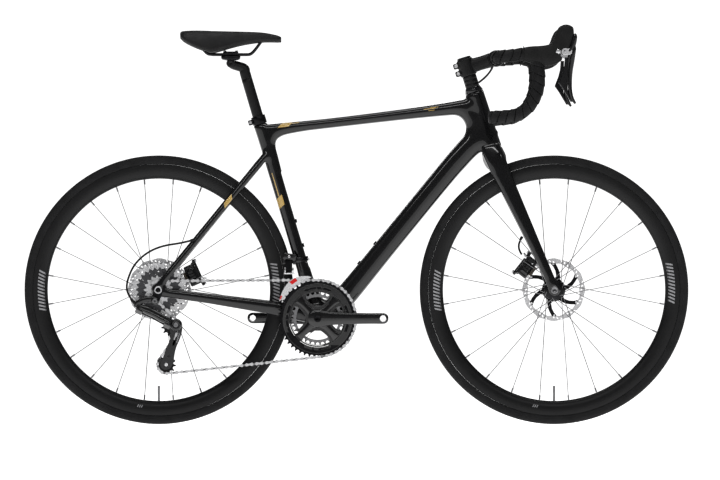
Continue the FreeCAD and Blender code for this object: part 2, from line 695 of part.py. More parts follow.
def link_yoke(sign):
    """Two ears, their web and the two link pins; sign is +1 for a web ahead of the pins."""
    ears = []
    for z in (-10.2, 7.3):
        ears.append(flat_bar(V(0, -LINK_GAP / 2, 0), V(0, LINK_GAP / 2, 0), 5.0, z, z + 2.9))
        block = Part.makeBox(13, 20, 2.9, V(0 if sign > 0 else -13, -10, z))
        ears.append(block)
    web = Part.makeBox(5, 20, 20.4, V(8 if sign > 0 else -13, -10, -10.2))
    pins = [Part.makeCylinder(2, 20.4, V(0, y, -10.2), Z) for y in (-LINK_GAP / 2, LINK_GAP / 2)]
    return ears[0].multiFuse(ears[1:] + [web] + pins).removeSplitter()


def make_rear_derailleur():
    make_rd_link("rd_outer_link", -LINK_GAP / 2, 5.0)
    make_rd_link("rd_inner_link", LINK_GAP / 2, 4.5)
    yoke = slanted(link_yoke(-1), B_LINK)
    barrel = across(HANGER_BOLT, 9.5, -94, -79.4)
    arm = bar_plate(HANGER_BOLT, V(-552, 0, 313), 9, 6.0, -91, -80.2)
    strut = loft([(V(-552, -85.5, 312), Z * -1, 10, 9), (V(-552.5, -85, 296), Z * -1, 9, 9)])
    adjuster = cylinder(V(-553, -86, 303), V(-563, -86, 311), 4.0)
    knuckle = yoke.multiFuse([barrel, arm, strut, adjuster]).removeSplitter()
    knuckle = knuckle.cut(across(HANGER_BOLT, 5 + RUNNING_FIT, -100, -70))
    print("B knuckle solids", [round(s.Volume) for s in knuckle.Solids])
    save("rd_b_knuckle", *[s for s in knuckle.Solids if s.Volume > 50])
    p_yoke = slanted(link_yoke(1), P_LINK)
    p_barrel = across(P_PIVOT, 13, -88, -70)
    p_knuckle = p_yoke.fuse(p_barrel).removeSplitter().cut(across(P_PIVOT, 4 + RUNNING_FIT, -84, -60))
    print("P knuckle solids", [round(s.Volume) for s in p_knuckle.Solids])
    save("rd_p_knuckle", *[s for s in p_knuckle.Solids if s.Volume > 50])
    outer_y = (-69.2, -67.2)
    inner_y = (-56.8, -55.3)
    bend = V(P_PIVOT.x - 4, 0, P_PIVOT.z - 45)
    outer = bar_plate(P_PIVOT, bend, 15, 8.5, *outer_y).fuse(bar_plate(bend, LOWER_PULLEY, 8.5, 12, *outer_y))
    inner = bar_plate(UPPER_PULLEY, bend, 11, 7, *inner_y).fuse(bar_plate(bend, LOWER_PULLEY, 7, 12, *inner_y))
    pin = across(P_PIVOT, 4, -83.5, -68)
    bolts = [across(p, 2.5, -69, -55.5) for p in (UPPER_PULLEY, LOWER_PULLEY)]
    slot = bar_plate(bend + V(1, 0, 22), bend + V(-7, 0, -16), 2.4, 2.3, -80, -40)
    cage = outer.cut(slot).multiFuse([inner, pin] + bolts).removeSplitter()
    save("rd_cage", cage)
    for name, centre, number in (("upper", UPPER_PULLEY, 2), ("lower", LOWER_PULLEY, 3)):
        bore = 2.5 + RUNNING_FIT
        wheel = sprocket(centre, PULLEY_TEETH, COG_Y, 1.8, bore, gap_phase(centre, number))
        hub = ring_bar(centre, 7, bore, COG_Y - 4.4, COG_Y + 4.4)
        save(f"rd_pulley_{name}", wheel.fuse(hub).removeSplitter())


def make_front_derailleur():
    seat_mid = seat_point(153)
    band = cylinder(seat_mid - SEAT_UP * 6, seat_mid + SEAT_UP * 6, 20.5)
    top, base = V(-170, -40, 412), V(-170, -44, 392)
    body = box(V(-186, -50, 407), V(-152, -22, 432))
    body = body.makeFillet(3, body.Edges)
    bridge = box(V(-172, -30, 409), V(-140, -12, 421))
    room = box(V(-178.3, -60, 390), V(-161.7, -30, 421))
    pin = cylinder(V(-181, top.y, top.z), V(-159, top.y, top.z), 2)
    body = body.multiFuse([band, bridge]).cut(seat_filler()).cut(room).fuse(pin).removeSplitter()
    save("fd_body", max(body.Solids, key=lambda s: s.Volume))
    link_way = base - top
    link = Part.makeBox(16, 9, link_way.Length, V(-8, -4.5, 0))
    link = link.multiFuse([cylinder(V(-8, 0, z), V(8, 0, z), 4.5) for z in (0, link_way.Length)])
    holes = [cylinder(V(-9, 0, z), V(9, 0, z), 2 + RUNNING_FIT) for z in (0, link_way.Length)]
    link = link.removeSplitter().cut(Part.makeCompound(holes))
    link.rotate(V(0, 0, 0), X, math.degrees(math.atan2(-link_way.y, link_way.z)))
    link.translate(top)
    save("fd_link", link)
    pivot_pin = cylinder(V(-181, base.y, base.z), V(-159, base.y, base.z), 2)
    ears = []
    for x in (-181.6, -161.4):
        ear = box(V(x, base.y - 4.5, base.z - 10), V(x + 3, base.y + 4.5, base.z))
        ears.append(ear.fuse(cylinder(V(x, base.y, base.z), V(x + 3, base.y, base.z), 4.5)))

    def plate(y, drop):
        """A cage plate that hugs the ring's tip circle, splayed outward to the rear."""
        points = []
        for k in range(9):
            a = math.radians(86 + 8 * k)
            points.append((BB.x + drop * math.cos(a), BB.z + drop * math.sin(a)))
        points += [(-203, 334), (-197, 372), (-178, 383), (-112, 383)]
        flat = side_plate(points, y, y + 1.0)
        flat.rotate(V(BB.x, y, 0), Z, 2.1)
        return flat

    outer = plate(-52.6, 103.5)
    inner = plate(-43.4, 88)
    bridge = box(V(-183, -54.6, base.z - 12), V(-156, -38.5, base.z - 9))
    cage = outer.multiFuse([inner, bridge, pivot_pin] + ears).removeSplitter()
    print("FD cage solids", [round(s.Volume) for s in cage.Solids])
    save("fd_cage", *cage.Solids)


def make_shift_housing():
    route = [
        V(-411, -67.6, 466), V(-424, -69, 463), V(-440, -70, 459), V(-458, -73, 456), V(-478, -76, 453),
        V(-500, -79, 447), V(-522, -82, 437), V(-544, -84, 421), V(-562, -86, 400), V(-574, -87, 374),
        V(-580, -87, 348), V(-575, -86.5, 327), V(-563.8, -86, 311.9),
    ]
    save("shift_housing", cord("shift housing", route, CABLE_RADIUS))


# ---------------------------------------------------------- steering assembly


def make_fork():
    steerer_top = 238.8
    steerer = cylinder(HEAD_LOW - STEER_UP * 20, HEAD_LOW + STEER_UP * steerer_top, STEERER_RADIUS)
    taper = cylinder(HEAD_LOW - STEER_UP * 20, HEAD_LOW + STEER_UP * 12, 17.0)
    crown = Part.makeCone(31, 26.3, 24, HEAD_LOW - STEER_UP * 24.4, STEER_UP)
    way = V(148, 0, -332)
    blade = loft([
        (V(350, -26, 684), way, 46, 26), (V(361, -32, 655), way, 45, 21), (V(375, -36.5, 620), way, 42, 18),
        (V(399, -42, 566), way, 37, 17), (V(433, -48.6, 490), way, 31, 15.5),
        (V(470, -54, 410), way, 25, 13), (V(492, -56.4, 362), way, 23, 12.4),
    ], 2.3)
    end = bar_plate(V(492, 0, 358), FRONT, 11.5, 13.5, -62.5, -50.2)
    tyre_room = across(FRONT, TYRE_RADIUS + 7, -20.5, 20.5)
    blade = blade.cut(end).cut(tyre_room).cut(crown)
    blade = max(blade.Solids, key=lambda s: s.Volume)
    end = end.cut(across(FRONT, AXLE_RADIUS + 0.05, -90, 90))
    top = crown.multiFuse([steerer, taper]).removeSplitter().cut(tyre_room)
    top = top.cut(cylinder(HEAD_LOW - STEER_UP * 60, HEAD_LOW + STEER_UP * 300, 11.8))
    top = max(top.Solids, key=lambda s: s.Volume)
    save("fork", top, blade, mirrored(blade), end, mirrored(end))
    return mirrored(blade)


def along_steerer(low, high, radius, bore=STEERER_RADIUS + 0.02):
    """A collar round the steerer between two distances above the head tube's lower end."""
    piece = cylinder(HEAD_LOW + STEER_UP * low, HEAD_LOW + STEER_UP * high, radius)
    return piece.cut(cylinder(HEAD_LOW + STEER_UP * (low - 1), HEAD_LOW + STEER_UP * (high + 1), bore))


def make_cockpit():
    cover_low = HEAD_LENGTH + 0.4
    cover = Part.makeCone(23.4, 18.5, 13, HEAD_LOW + STEER_UP * cover_low, STEER_UP)
    cover = cover.cut(cylinder(HEAD_LOW, HEAD_LOW + STEER_UP * 300, STEERER_RADIUS + 0.02))
    spacers = [cover]
    low = cover_low + 13.05
    for height in (10.0, 10.0, 10.0):
        spacers.append(along_steerer(low, low + height, 17.0))
        low += height + 0.05
    cap = cylinder(HEAD_LOW + STEER_UP * (low + 44.1), HEAD_LOW + STEER_UP * (low + 49), 17.5)
    spacers.append(cap)
    save("headset_spacers", *spacers)
    stem_mid = HEAD_LOW + STEER_UP * (low + 22)
    collar = cylinder(HEAD_LOW + STEER_UP * low, HEAD_LOW + STEER_UP * (low + 44), 19.5)
    back = STEER_UP.cross(Y).normalize()
    reach = BAR_CENTRE - stem_mid
    beam = loft([
        (stem_mid, reach, 40, 32), (stem_mid + reach * 0.35, reach, 34, 30),
        (stem_mid + reach * 0.75, reach, 36, 42), (BAR_CENTRE, reach, 38, 46),
    ], 2.8)
    ear = Part.makeBox(14, 24, 38, V(-7, -12, -19))
    ear.rotate(V(0, 0, 0), Y, -(90 - math.degrees(HEAD_ANGLE)))
    ear.translate(stem_mid + back * 23)
    clamp = across(BAR_CENTRE, 20.5, -23, 23)
    stem = collar.multiFuse([beam, ear, clamp]).removeSplitter()
    slot = Part.makeBox(24, 1.6, 60, V(-12, -0.8, -30))
    slot.rotate(V(0, 0, 0), Y, -(90 - math.degrees(HEAD_ANGLE)))
    slot.translate(stem_mid + back * 24)
    stem = stem.cut(slot)
    stem = stem.cut(cylinder(HEAD_LOW, HEAD_LOW + STEER_UP * 300, STEERER_RADIUS + 0.02))
    stem = stem.cut(across(BAR_CENTRE, CLAMP_RADIUS + 0.02, -60, 60))
    bolts = []
    for height in (-10, 10):
        place = stem_mid + back * 25 + STEER_UP * height
        stem = stem.cut(across(place, 2.55, -30, 30))
        bolts += [across(place, 2.5, -12, 12), across(place, 4.2, -15.5, -12.1)]
    split = Part.makeBox(1.0, 60, 60, V(-0.5, -30, -30))
    split.rotate(V(0, 0, 0), Y, -math.degrees(math.atan2(reach.z, reach.x)))
    split.translate(BAR_CENTRE)
    stem = stem.cut(split)
    print("stem solids", [round(s.Volume) for s in stem.Solids])
    save("stem", *[s for s in stem.Solids if s.Volume > 100])
    axle = across(FRONT, AXLE_RADIUS, -63.5, 63).fuse(across(FRONT, 9.5, 62.7, 67))
    axle = axle.cut(across(FRONT, 3, -70, -50))
    save("steering_fasteners", *bolts, axle)


def bar_route(start_y):
    """The right half of the bar's centre line, from start_y on the tops to the end of the drop."""
    points = [V(BAR_CENTRE.x, start_y, BAR_CENTRE.z), V(BAR_CENTRE.x, -BAR_HALF + 34, BAR_CENTRE.z)]
    points += [V(BAR_CENTRE.x + 12, -BAR_HALF + 5, 925), V(392, -BAR_HALF, 928), V(436, -BAR_HALF, 933)]
    points += [V(456, -BAR_HALF - 1, 902), V(455, -BAR_HALF - 3, 850), V(436, -BAR_HALF - 5, 802)]
    points += [V(404, -BAR_HALF - 7, 778), V(335, -BAR_HALF - 10, 773)]
    return points


def make_handlebar():
    half = tube(bar_route(-60), BAR_RADIUS, 9.9)
    middle = ring_bar(BAR_CENTRE, CLAMP_RADIUS, 13.5, -60, 60)
    cone = Part.makeCone(BAR_RADIUS, CLAMP_RADIUS, 12, V(BAR_CENTRE.x, -72, BAR_CENTRE.z), Y)
    cone = cone.cut(across(BAR_CENTRE, BAR_RADIUS - 0.01, -80, -50))
    bar = middle.multiFuse([half, mirrored(half), cone, mirrored(cone)]).removeSplitter()
    print("bar solids", [round(s.Volume) for s in bar.Solids], bar.isValid())
    save("handlebar", *bar.Solids)
    wrap = tube(bar_route(-74), TAPE_RADIUS, BAR_RADIUS + 0.05)
    end = bar_route(-74)[-1]
    way = (end - bar_route(-74)[-2]).normalize()
    plug = cylinder(end + way * 0.1, end + way * 5, TAPE_RADIUS - 0.6)
    save("bar_tape", wrap, plug, mirrored(wrap), mirrored(plug))
    return tube(bar_route(-74), TAPE_RADIUS + 0.05)


def make_hoods(taped):
    """Rubber hoods over the brackets, each with a mouth in front that the lever sits in."""
    y = -BAR_HALF
    hood = loft([
        (V(430, y, 930), V(1, 0, 0.12), 40, 37), (V(468, y, 924), V(1, 0, 0.12), 50, 37),
        (V(498, y, 935), V(1, 0, 0.7), 47, 34), (V(514, y, 962), V(1, 0, 1.7), 40, 33),
        (V(522, y, 988), V(1, 0, 2.4), 33, 29), (V(527, y, 1003), V(1, 0, 2.6), 16, 16),
    ], 2.3)
    hood = hood.cut(taped)
    mouth = across(LEVER_PIVOT, 15.5, y - 40, y + 40)
    room = box(V(516, y - 40, 880), V(570, y + 40, 952))
    hood = hood.cut(mouth).cut(room)
    tongue = across(LEVER_PIVOT, 8, y - 4, y + 4)
    neck = box(V(500, y - 4, 930), V(520, y + 4, 944))
    hood = hood.fuse(neck).fuse(tongue).cut(across(LEVER_PIVOT, 3 + RUNNING_FIT, y - 9, y + 9))
    print("hood solids", [round(s.Volume) for s in hood.Solids], hood.isValid())
    solid = max(hood.Solids, key=lambda s: s.Volume)
    save("lever_hoods", solid, mirrored(solid))


def make_levers():
    """Right-hand carrier, blade and paddle, and their mirror images."""
    y = -BAR_HALF
    p = LEVER_PIVOT
    cheeks = [across(p, 9, y + a, y + b) for a, b in ((-9, -4.5), (4.5, 9))]
    pin = across(p, 3, y - 9, y + 9)
    bridge = box(V(p.x + 9.2, y - 9, 931), V(p.x + 13, y + 9, 945))
    links = [box(V(p.x, y + a, 931), V(p.x + 12, y + b, 945)) for a, b in ((-9, -4.5), (4.5, 9))]
    swing = V(p.x + 12, y, 938)
    swing_pin = cylinder(swing, swing + X * 14, 2.5)
    carrier = cheeks[0].multiFuse([cheeks[1], pin, bridge, swing_pin] + links).removeSplitter()
    blade = loft([
        (V(541, y, 960), V(-0.1, 0, -1), 9, 18), (V(541, y, 938), V(-0.1, 0, -1), 9.5, 20),
        (V(538, y - 0.5, 905), V(-0.1, 0, -1), 9, 15), (V(535, y - 1, 860), V(0, 0, -1), 9, 13),
        (V(537, y - 1.5, 832), V(0.3, 0, -1), 9, 12), (V(545, y - 2, 811), V(0.5, 0, -1), 7, 9),
    ], 2.4)
    blade = blade.cut(cylinder(swing - X * 5, swing + X * 30, 2.5 + RUNNING_FIT))
    paddle = side_plate([(524, 921), (531.4, 921), (529.6, 880), (529.6, 842), (526, 832), (517, 846),
                         (507, 860), (515, 884), (521, 902)], y - 5, y + 5)
    return carrier, blade, paddle


def make_controls():
    carrier, blade, paddle = make_levers()
    print("lever solids", [len(s.Solids) for s in (carrier, blade, paddle)])
    for side, turn in (("right", lambda s: s), ("left", mirrored)):
        save(f"lever_carrier_{side}", turn(carrier))
        save(f"brake_blade_{side}", turn(blade))
        save(f"shift_paddle_{side}", turn(paddle))


def make_hoses():
    hoses = []
    for side in (-1, 1):
        route = [
            V(345, side * 78, 907.5), V(343, side * 62, 900), V(338, side * 46, 892), V(331, side * 32, 883),
            V(322, side * 21, 874), V(310, side * 12.5, 865),
        ]
        hoses.append(cord("bar hose", route, CABLE_RADIUS))
    front = [V(420, 45, 474), V(414, 44, 463), V(411, 42, 451), V(413, 40, 439), V(419, 38.5, 429)]
    hoses.append(cord("front brake hose", front, CABLE_RADIUS))
    save("brake_hoses", *hoses)


# --------------------------------------------------------------------- saddle


def make_seat():
    low, high = seat_point(350), seat_point(664)
    post = cylinder(low, high, SEATPOST_RADIUS)
    head = across(SADDLE_PIVOT, 11, -17, 17)
    neck = loft([
        (seat_point(640), SEAT_UP, 27, 27), (seat_point(662), V(-0.6, 0, 0.9), 25, 26),
        (SADDLE_PIVOT, V(-0.9, 0, 0.5), 20, 28),
    ], 2.2)
    post = post.multiFuse([neck, head]).removeSplitter()
    print("post solids", [round(s.Volume) for s in post.Solids], post.isValid())
    save("seatpost", max(post.Solids, key=lambda s: s.Volume))
    x = SADDLE_PIVOT.x
    rails = [cylinder(V(x - 60, y, RAIL_Z), V(x + 60, y, RAIL_Z), 3.56) for y in (-RAIL_Y, RAIL_Y)]
    grooves = Part.makeCompound(rails)
    cradle = box(V(x - 20, -28, 924.5), V(x + 20, 28, RAIL_Z)).cut(across(SADDLE_PIVOT, 11.4, -40, 40))
    pieces = [cradle.cut(grooves)]
    for side in (-1, 1):
        ys = sorted([side * 14.0, side * 28.0])
        pieces.append(box(V(x - 19, ys[0], RAIL_Z + 0.1), V(x + 19, ys[1], RAIL_Z + 7)).cut(grooves))
    shafts = [cylinder(V(x + d, 0, 925.5), V(x + d, 0, 946), 2.4) for d in (-15, 15)]
    bar = box(V(x - 19, -13.9, RAIL_Z + 2), V(x + 19, 13.9, RAIL_Z + 7))
    holes = Part.makeCompound([cylinder(V(x + d, 0, 915), V(x + d, 0, 960), 2.45) for d in (-15, 15)])
    pieces = [pieces[0].cut(holes), pieces[1], pieces[2], bar.cut(holes)] + shafts
    save("saddle_clamp", *[s for piece in pieces for s in piece.Solids])
    rail_solids = []
    for side in (-1, 1):
        route = [
            V(-236, side * 11, 973), V(-252, side * 15.5, 953), V(-272, side * RAIL_Y, RAIL_Z),
            V(-360, side * RAIL_Y, RAIL_Z), V(-379, side * 27, 939), V(-396, side * 33, 958),
        ]
        rail_solids.append(tube(route, 3.5, share=0.3))
    save("saddle_rails", *rail_solids)
    profile = [
        (-446, 986, 8, 60), (-430, 981, 24, 110), (-400, 975, 38, 136), (-365, 970, 44, 140),
        (-330, 973, 37, 118), (-295, 977, 30, 84), (-255, 978.5, 27, 54), (-215, 978, 24, 42),
        (-190, 976, 12, 24),
    ]
    back = V(1, 0, 0)
    whole = loft([(V(a, 0, z), back, h, w) for a, z, h, w in profile], 2.5)
    cutter = loft([(V(a, 0, z - 26.5), back, h + 34, w + 40) for a, z, h, w in profile], 3.2)
    pad = whole.cut(cutter)
    hollow = loft([(V(a, 0, z - 32), back, max(h, 20) + 30, w * 0.82) for a, z, h, w in profile], 3.2)
    shell = whole.common(cutter).cut(hollow)
    rails = Part.makeCompound(rail_solids)
    print("pad", [round(s.Volume) for s in pad.Solids], "shell", [round(s.Volume) for s in shell.Solids])
    save("saddle_pad", max(pad.Solids, key=lambda s: s.Volume))
    save("saddle_shell", max(shell.cut(rails).Solids, key=lambda s: s.Volume))


def make_brakes(blade):
    front = make_caliper("front_caliper", V(433.5, 0, 396.5), ROTOR_Y["front"], -52, blade)
    rear = make_caliper("rear_caliper", V(-417, 0, 376.5), ROTOR_Y["rear"], 66, None)
    for where, pads in (("front", front), ("rear", rear)):
        save(f"{where}_pad_inner", pads[0])
        save(f"{where}_pad_outer", pads[1])


make_main_frame()
make_frame_small_parts(make_rear_triangle())
make_brakes(make_fork())
make_wheels()
make_cassette()
make_crankset()
make_rear_derailleur()
make_front_derailleur()
make_shift_housing()
make_cockpit()
make_hoods(make_handlebar())
make_controls()
make_hoses()
make_seat()
make_chain()
print("chain links", CHAIN_LINKS, "cage angle", round(math.degrees(CAGE_ANGLE), 2))
print("lower pulley", LOWER_PULLEY)
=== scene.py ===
"""Road bicycle: the visual model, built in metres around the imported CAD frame.

+X is forward, +Y the rider's left, +Z up. Lengths in the tables below are in millimetres and are
scaled once, in mm(). The drive side, -Y, faces the camera.
"""

import math
import random

import bmesh
import bpy
import numpy as np
from mathutils import Matrix, Vector


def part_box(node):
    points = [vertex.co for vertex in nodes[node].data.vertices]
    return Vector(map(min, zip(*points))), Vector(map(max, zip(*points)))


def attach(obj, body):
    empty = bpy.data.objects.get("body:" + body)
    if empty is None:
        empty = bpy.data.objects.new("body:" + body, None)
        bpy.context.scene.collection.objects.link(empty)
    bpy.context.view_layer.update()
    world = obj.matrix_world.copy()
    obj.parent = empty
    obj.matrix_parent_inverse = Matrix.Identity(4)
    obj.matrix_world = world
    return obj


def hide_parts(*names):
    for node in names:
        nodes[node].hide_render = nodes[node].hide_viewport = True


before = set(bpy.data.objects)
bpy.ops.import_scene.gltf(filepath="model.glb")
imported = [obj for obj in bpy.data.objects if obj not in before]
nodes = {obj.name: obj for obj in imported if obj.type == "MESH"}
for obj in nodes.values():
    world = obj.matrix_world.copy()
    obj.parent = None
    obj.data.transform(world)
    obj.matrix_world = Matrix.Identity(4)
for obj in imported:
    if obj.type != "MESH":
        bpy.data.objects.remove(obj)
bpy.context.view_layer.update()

MM = 0.001
SEED = 7
Y = Vector((0, 1, 0))
random.seed(SEED)


# ------------------------------------------------------------------ measures

def centre_of(node):
    low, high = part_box(node)
    return (low + high) / 2 / MM


REAR = centre_of("rear_tyre")
FRONT = centre_of("front_tyre")
BB = centre_of("chainring_small")
BB.y = 0
TYRE_RADIUS = (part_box("rear_tyre")[1].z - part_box("rear_tyre")[0].z) / 2 / MM
SEAT_UP = Vector((-math.cos(math.radians(73.5)), 0, math.sin(math.radians(73.5))))
STEER_UP = Vector((-math.cos(math.radians(73)), 0, math.sin(math.radians(73))))
HEAD_LOW = Vector((342.3, 0, 695))
HEAD_LENGTH = 151.6
BAR_HALF = 205.0


def mm(v):
    return Vector(v) * MM


# ------------------------------------------------------------------ materials

def material(name, colour, rough=0.5, metal=0.0, coat=0.0, coat_rough=0.05, specular=None, sheen=0.0):
    """A new node material with its uniform values on the shader's own sockets."""
    m = bpy.data.materials.new(name)
    m.use_nodes = True
    m.diffuse_color = (*colour, 1)
    shader = m.node_tree.nodes["Principled BSDF"]
    shader.inputs["Base Color"].default_value = (*colour, 1)
    shader.inputs["Roughness"].default_value = rough
    shader.inputs["Metallic"].default_value = metal
    shader.inputs["Coat Weight"].default_value = coat
    shader.inputs["Coat Roughness"].default_value = coat_rough
    shader.inputs["Sheen Weight"].default_value = sheen
    if specular is not None:
        shader.inputs["Specular IOR Level"].default_value = specular
    return m


def add(m, kind, **values):
    """A node of that kind, with inputs set by name."""
    node = m.node_tree.nodes.new(kind)
    for key, value in values.items():
        if key in node.inputs:
            node.inputs[key].default_value = value
        else:
            setattr(node, key, value)
    return node


def link(m, a, out, b, into):
    m.node_tree.links.new(a.outputs[out], b.inputs[into])


def shader_of(m):
    return m.node_tree.nodes["Principled BSDF"]


def place_of(m, scale=(1, 1, 1), rotation=(0, 0, 0)):
    """Object coordinates, stretched; they stay with the piece when it moves."""
    coordinates = add(m, "ShaderNodeTexCoord")
    mapping = add(m, "ShaderNodeMapping")
    mapping.inputs["Scale"].default_value = scale
    mapping.inputs["Rotation"].default_value = rotation
    link(m, coordinates, "Object", mapping, "Vector")
    return mapping


def mottled(m, scale, low, high, into="Roughness", stretch=(1, 1, 1), detail=6.0):
    """Varies one grey input between two values with noise."""
    where = place_of(m, stretch)
    noise = add(m, "ShaderNodeTexNoise", Scale=scale, Detail=detail)
    spread = add(m, "ShaderNodeMapRange")
    spread.inputs["From Min"].default_value = 0.3
    spread.inputs["From Max"].default_value = 0.7
    spread.inputs["To Min"].default_value = low
    spread.inputs["To Max"].default_value = high
    link(m, where, "Vector", noise, "Vector")
    link(m, noise, "Fac", spread, "Value")
    link(m, spread, "Result", shader_of(m), into)
    return noise


def tinted(m, scale, dark, light, stretch=(1, 1, 1), detail=6.0):
    """Varies the colour between two with noise."""
    where = place_of(m, stretch)
    noise = add(m, "ShaderNodeTexNoise", Scale=scale, Detail=detail)
    ramp = add(m, "ShaderNodeValToRGB")
    ramp.color_ramp.elements[0].position = 0.35
    ramp.color_ramp.elements[1].position = 0.68
    ramp.color_ramp.elements[0].color = (*dark, 1)
    ramp.color_ramp.elements[1].color = (*light, 1)
    link(m, where, "Vector", noise, "Vector")
    link(m, noise, "Fac", ramp, "Fac")
    link(m, ramp, "Color", shader_of(m), "Base Color")
    return ramp


def bumped(m, texture, out, strength, distance):
    """Adds a bump from a texture on top of any bump there already is."""
    shader = shader_of(m)
    bump = add(m, "ShaderNodeBump", Strength=strength, Distance=distance)
    link(m, texture, out, bump, "Height")
    held = shader.inputs["Normal"].links
    if held:
        m.node_tree.links.new(held[0].from_socket, bump.inputs["Normal"])
    m.node_tree.links.new(bump.outputs["Normal"], shader.inputs["Normal"])
    return bump


def grained(m, scale, strength, distance, detail=8.0, stretch=(1, 1, 1)):
    where = place_of(m, stretch)
    noise = add(m, "ShaderNodeTexNoise", Scale=scale, Detail=detail)
    link(m, where, "Vector", noise, "Vector")
    return bumped(m, noise, "Fac", strength, distance)


def pebbled(m, scale, strength, distance):
    """Fine leather or moulded-rubber cells."""
    where = place_of(m)
    cells = add(m, "ShaderNodeTexVoronoi", Scale=scale, feature="SMOOTH_F1")
    link(m, where, "Vector", cells, "Vector")
    return bumped(m, cells, "Distance", strength, distance)


def make_satin(name, colour=(0.012, 0.012, 0.013), rough=(0.36, 0.46), coat=0.0):
    m = material(name, colour, coat=coat, specular=0.3)
    mottled(m, 30, *rough)
    grained(m, 900, 0.05, 0.0004)
    return m


def make_anodised(name, dark, light, rough=(0.26, 0.4)):
    m = material(name, light, metal=0.85)
    tinted(m, 60, dark, light)
    mottled(m, 220, *rough)
    grained(m, 1600, 0.06, 0.0002)
    return m


def make_steel(name, dark, light, rough, brushed=(1, 1, 1)):
    m = material(name, light, metal=1.0)
    middle = tuple((a + 2 * b) / 3 for a, b in zip(dark, light))
    tinted(m, 700, middle, light, brushed)
    mottled(m, 420, *rough, stretch=brushed)
    grained(m, 1400, 0.08, 0.0002, stretch=brushed)
    return m


def make_rubber(name, colour, cell, strength=0.25, rough=(0.6, 0.75)):
    m = material(name, colour, specular=0.25)
    lighter = tuple(c * 1.35 for c in colour)
    tinted(m, 26, colour, lighter)
    mottled(m, 60, *rough)
    pebbled(m, cell, strength, 0.0004)
    return m


MATERIALS = {
    "satin": make_satin("satin_carbon", (0.006, 0.006, 0.0065)),
    "black": make_anodised("black_anodised", (0.010, 0.010, 0.011), (0.020, 0.020, 0.022)),
    "gloss_part": make_satin("gloss_part", (0.008, 0.008, 0.009), (0.14, 0.22), 0.6),
    "grey": make_anodised("grey_anodised", (0.07, 0.07, 0.072), (0.13, 0.13, 0.135)),
    "silver": make_steel("bright_steel", (0.50, 0.50, 0.51), (0.74, 0.74, 0.75), (0.2, 0.34)),
    "steel": make_steel("stainless", (0.34, 0.34, 0.35), (0.52, 0.52, 0.53), (0.28, 0.42)),
    "dark_steel": make_steel("dark_steel", (0.14, 0.14, 0.145), (0.24, 0.24, 0.245), (0.3, 0.42)),
    "chain": make_steel("chain_steel", (0.36, 0.36, 0.365), (0.62, 0.62, 0.63), (0.25, 0.4)),
    "plastic": make_rubber("moulded_plastic", (0.008, 0.008, 0.0085), 1500, 0.12, (0.42, 0.55)),
    "rubber": make_rubber("hood_rubber", (0.010, 0.010, 0.010), 900, 0.2),
    "housing": make_rubber("cable_housing", (0.010, 0.010, 0.010), 2500, 0.08, (0.35, 0.45)),
    "lining": make_steel("pad_lining", (0.09, 0.08, 0.07), (0.16, 0.14, 0.12), (0.6, 0.8)),
}


def wear(obj, m):
    """Gives an object one material, a MATERIALS name or a material."""
    chosen = MATERIALS[m] if isinstance(m, str) else m
    obj.data.materials.clear()
    obj.data.materials.append(chosen)
    return obj


# -------------------------------------------------------------- mesh building

def shown(mesh_object):
    bpy.context.scene.collection.objects.link(mesh_object)
    return mesh_object


def from_data(name, vertices, faces, smooth=True):
    mesh = bpy.data.meshes.new(name)
    mesh.from_pydata([tuple(v) for v in vertices], [], faces)
    mesh.validate()
    work = bmesh.new()
    work.from_mesh(mesh)
    bmesh.ops.recalc_face_normals(work, faces=work.faces)
    work.to_mesh(mesh)
    work.free()
    mesh.polygons.foreach_set("use_smooth", [smooth] * len(mesh.polygons))
    return shown(bpy.data.objects.new(name, mesh))


def baked(obj):
    """Applies an object's modifiers to its mesh."""
    bpy.context.view_layer.update()
    graph = bpy.context.evaluated_depsgraph_get()
    mesh = bpy.data.meshes.new_from_object(obj.evaluated_get(graph))
    obj.modifiers.clear()
    obj.data = mesh
    return obj


def spline_rows(rows, per_span):
    """Catmull-Rom rows of numbers through the given ones."""
    a = np.array(rows, float)
    out = []
    last = len(a) - 1
    for i in range(last):
        p0, p1, p2, p3 = a[max(i - 1, 0)], a[i], a[i + 1], a[min(i + 2, last)]
        for k in range(per_span):
            t = k / per_span
            out.append(0.5 * (2 * p1 + (p2 - p0) * t + (2 * p0 - 5 * p1 + 4 * p2 - p3) * t * t
                              + (3 * p1 - p0 - 3 * p2 + p3) * t ** 3))
    out.append(a[-1])
    return np.array(out)


def superellipse(steps, power):
    points = []
    for i in range(steps):
        angle = 2 * math.pi * i / steps
        c, s = math.cos(angle), math.sin(angle)
        points.append((math.copysign(abs(c) ** (2 / power), c), math.copysign(abs(s) ** (2 / power), s)))
    return points


def skin(name, rings, closed_ends=True, closed_loop=False):
    """Quads between rings of equal length."""
    count = len(rings[0])
    vertices = [p for ring in rings for p in ring]
    faces = []
    spans = len(rings) if closed_loop else len(rings) - 1
    for i in range(spans):
        j = (i + 1) % len(rings)
        for k in range(count):
            m = (k + 1) % count
            faces.append((i * count + k, i * count + m, j * count + m, j * count + k))
    if closed_ends and not closed_loop:
        faces.append(tuple(range(count))[::-1])
        faces.append(tuple((len(rings) - 1) * count + k for k in range(count)))
    return from_data(name, vertices, faces)


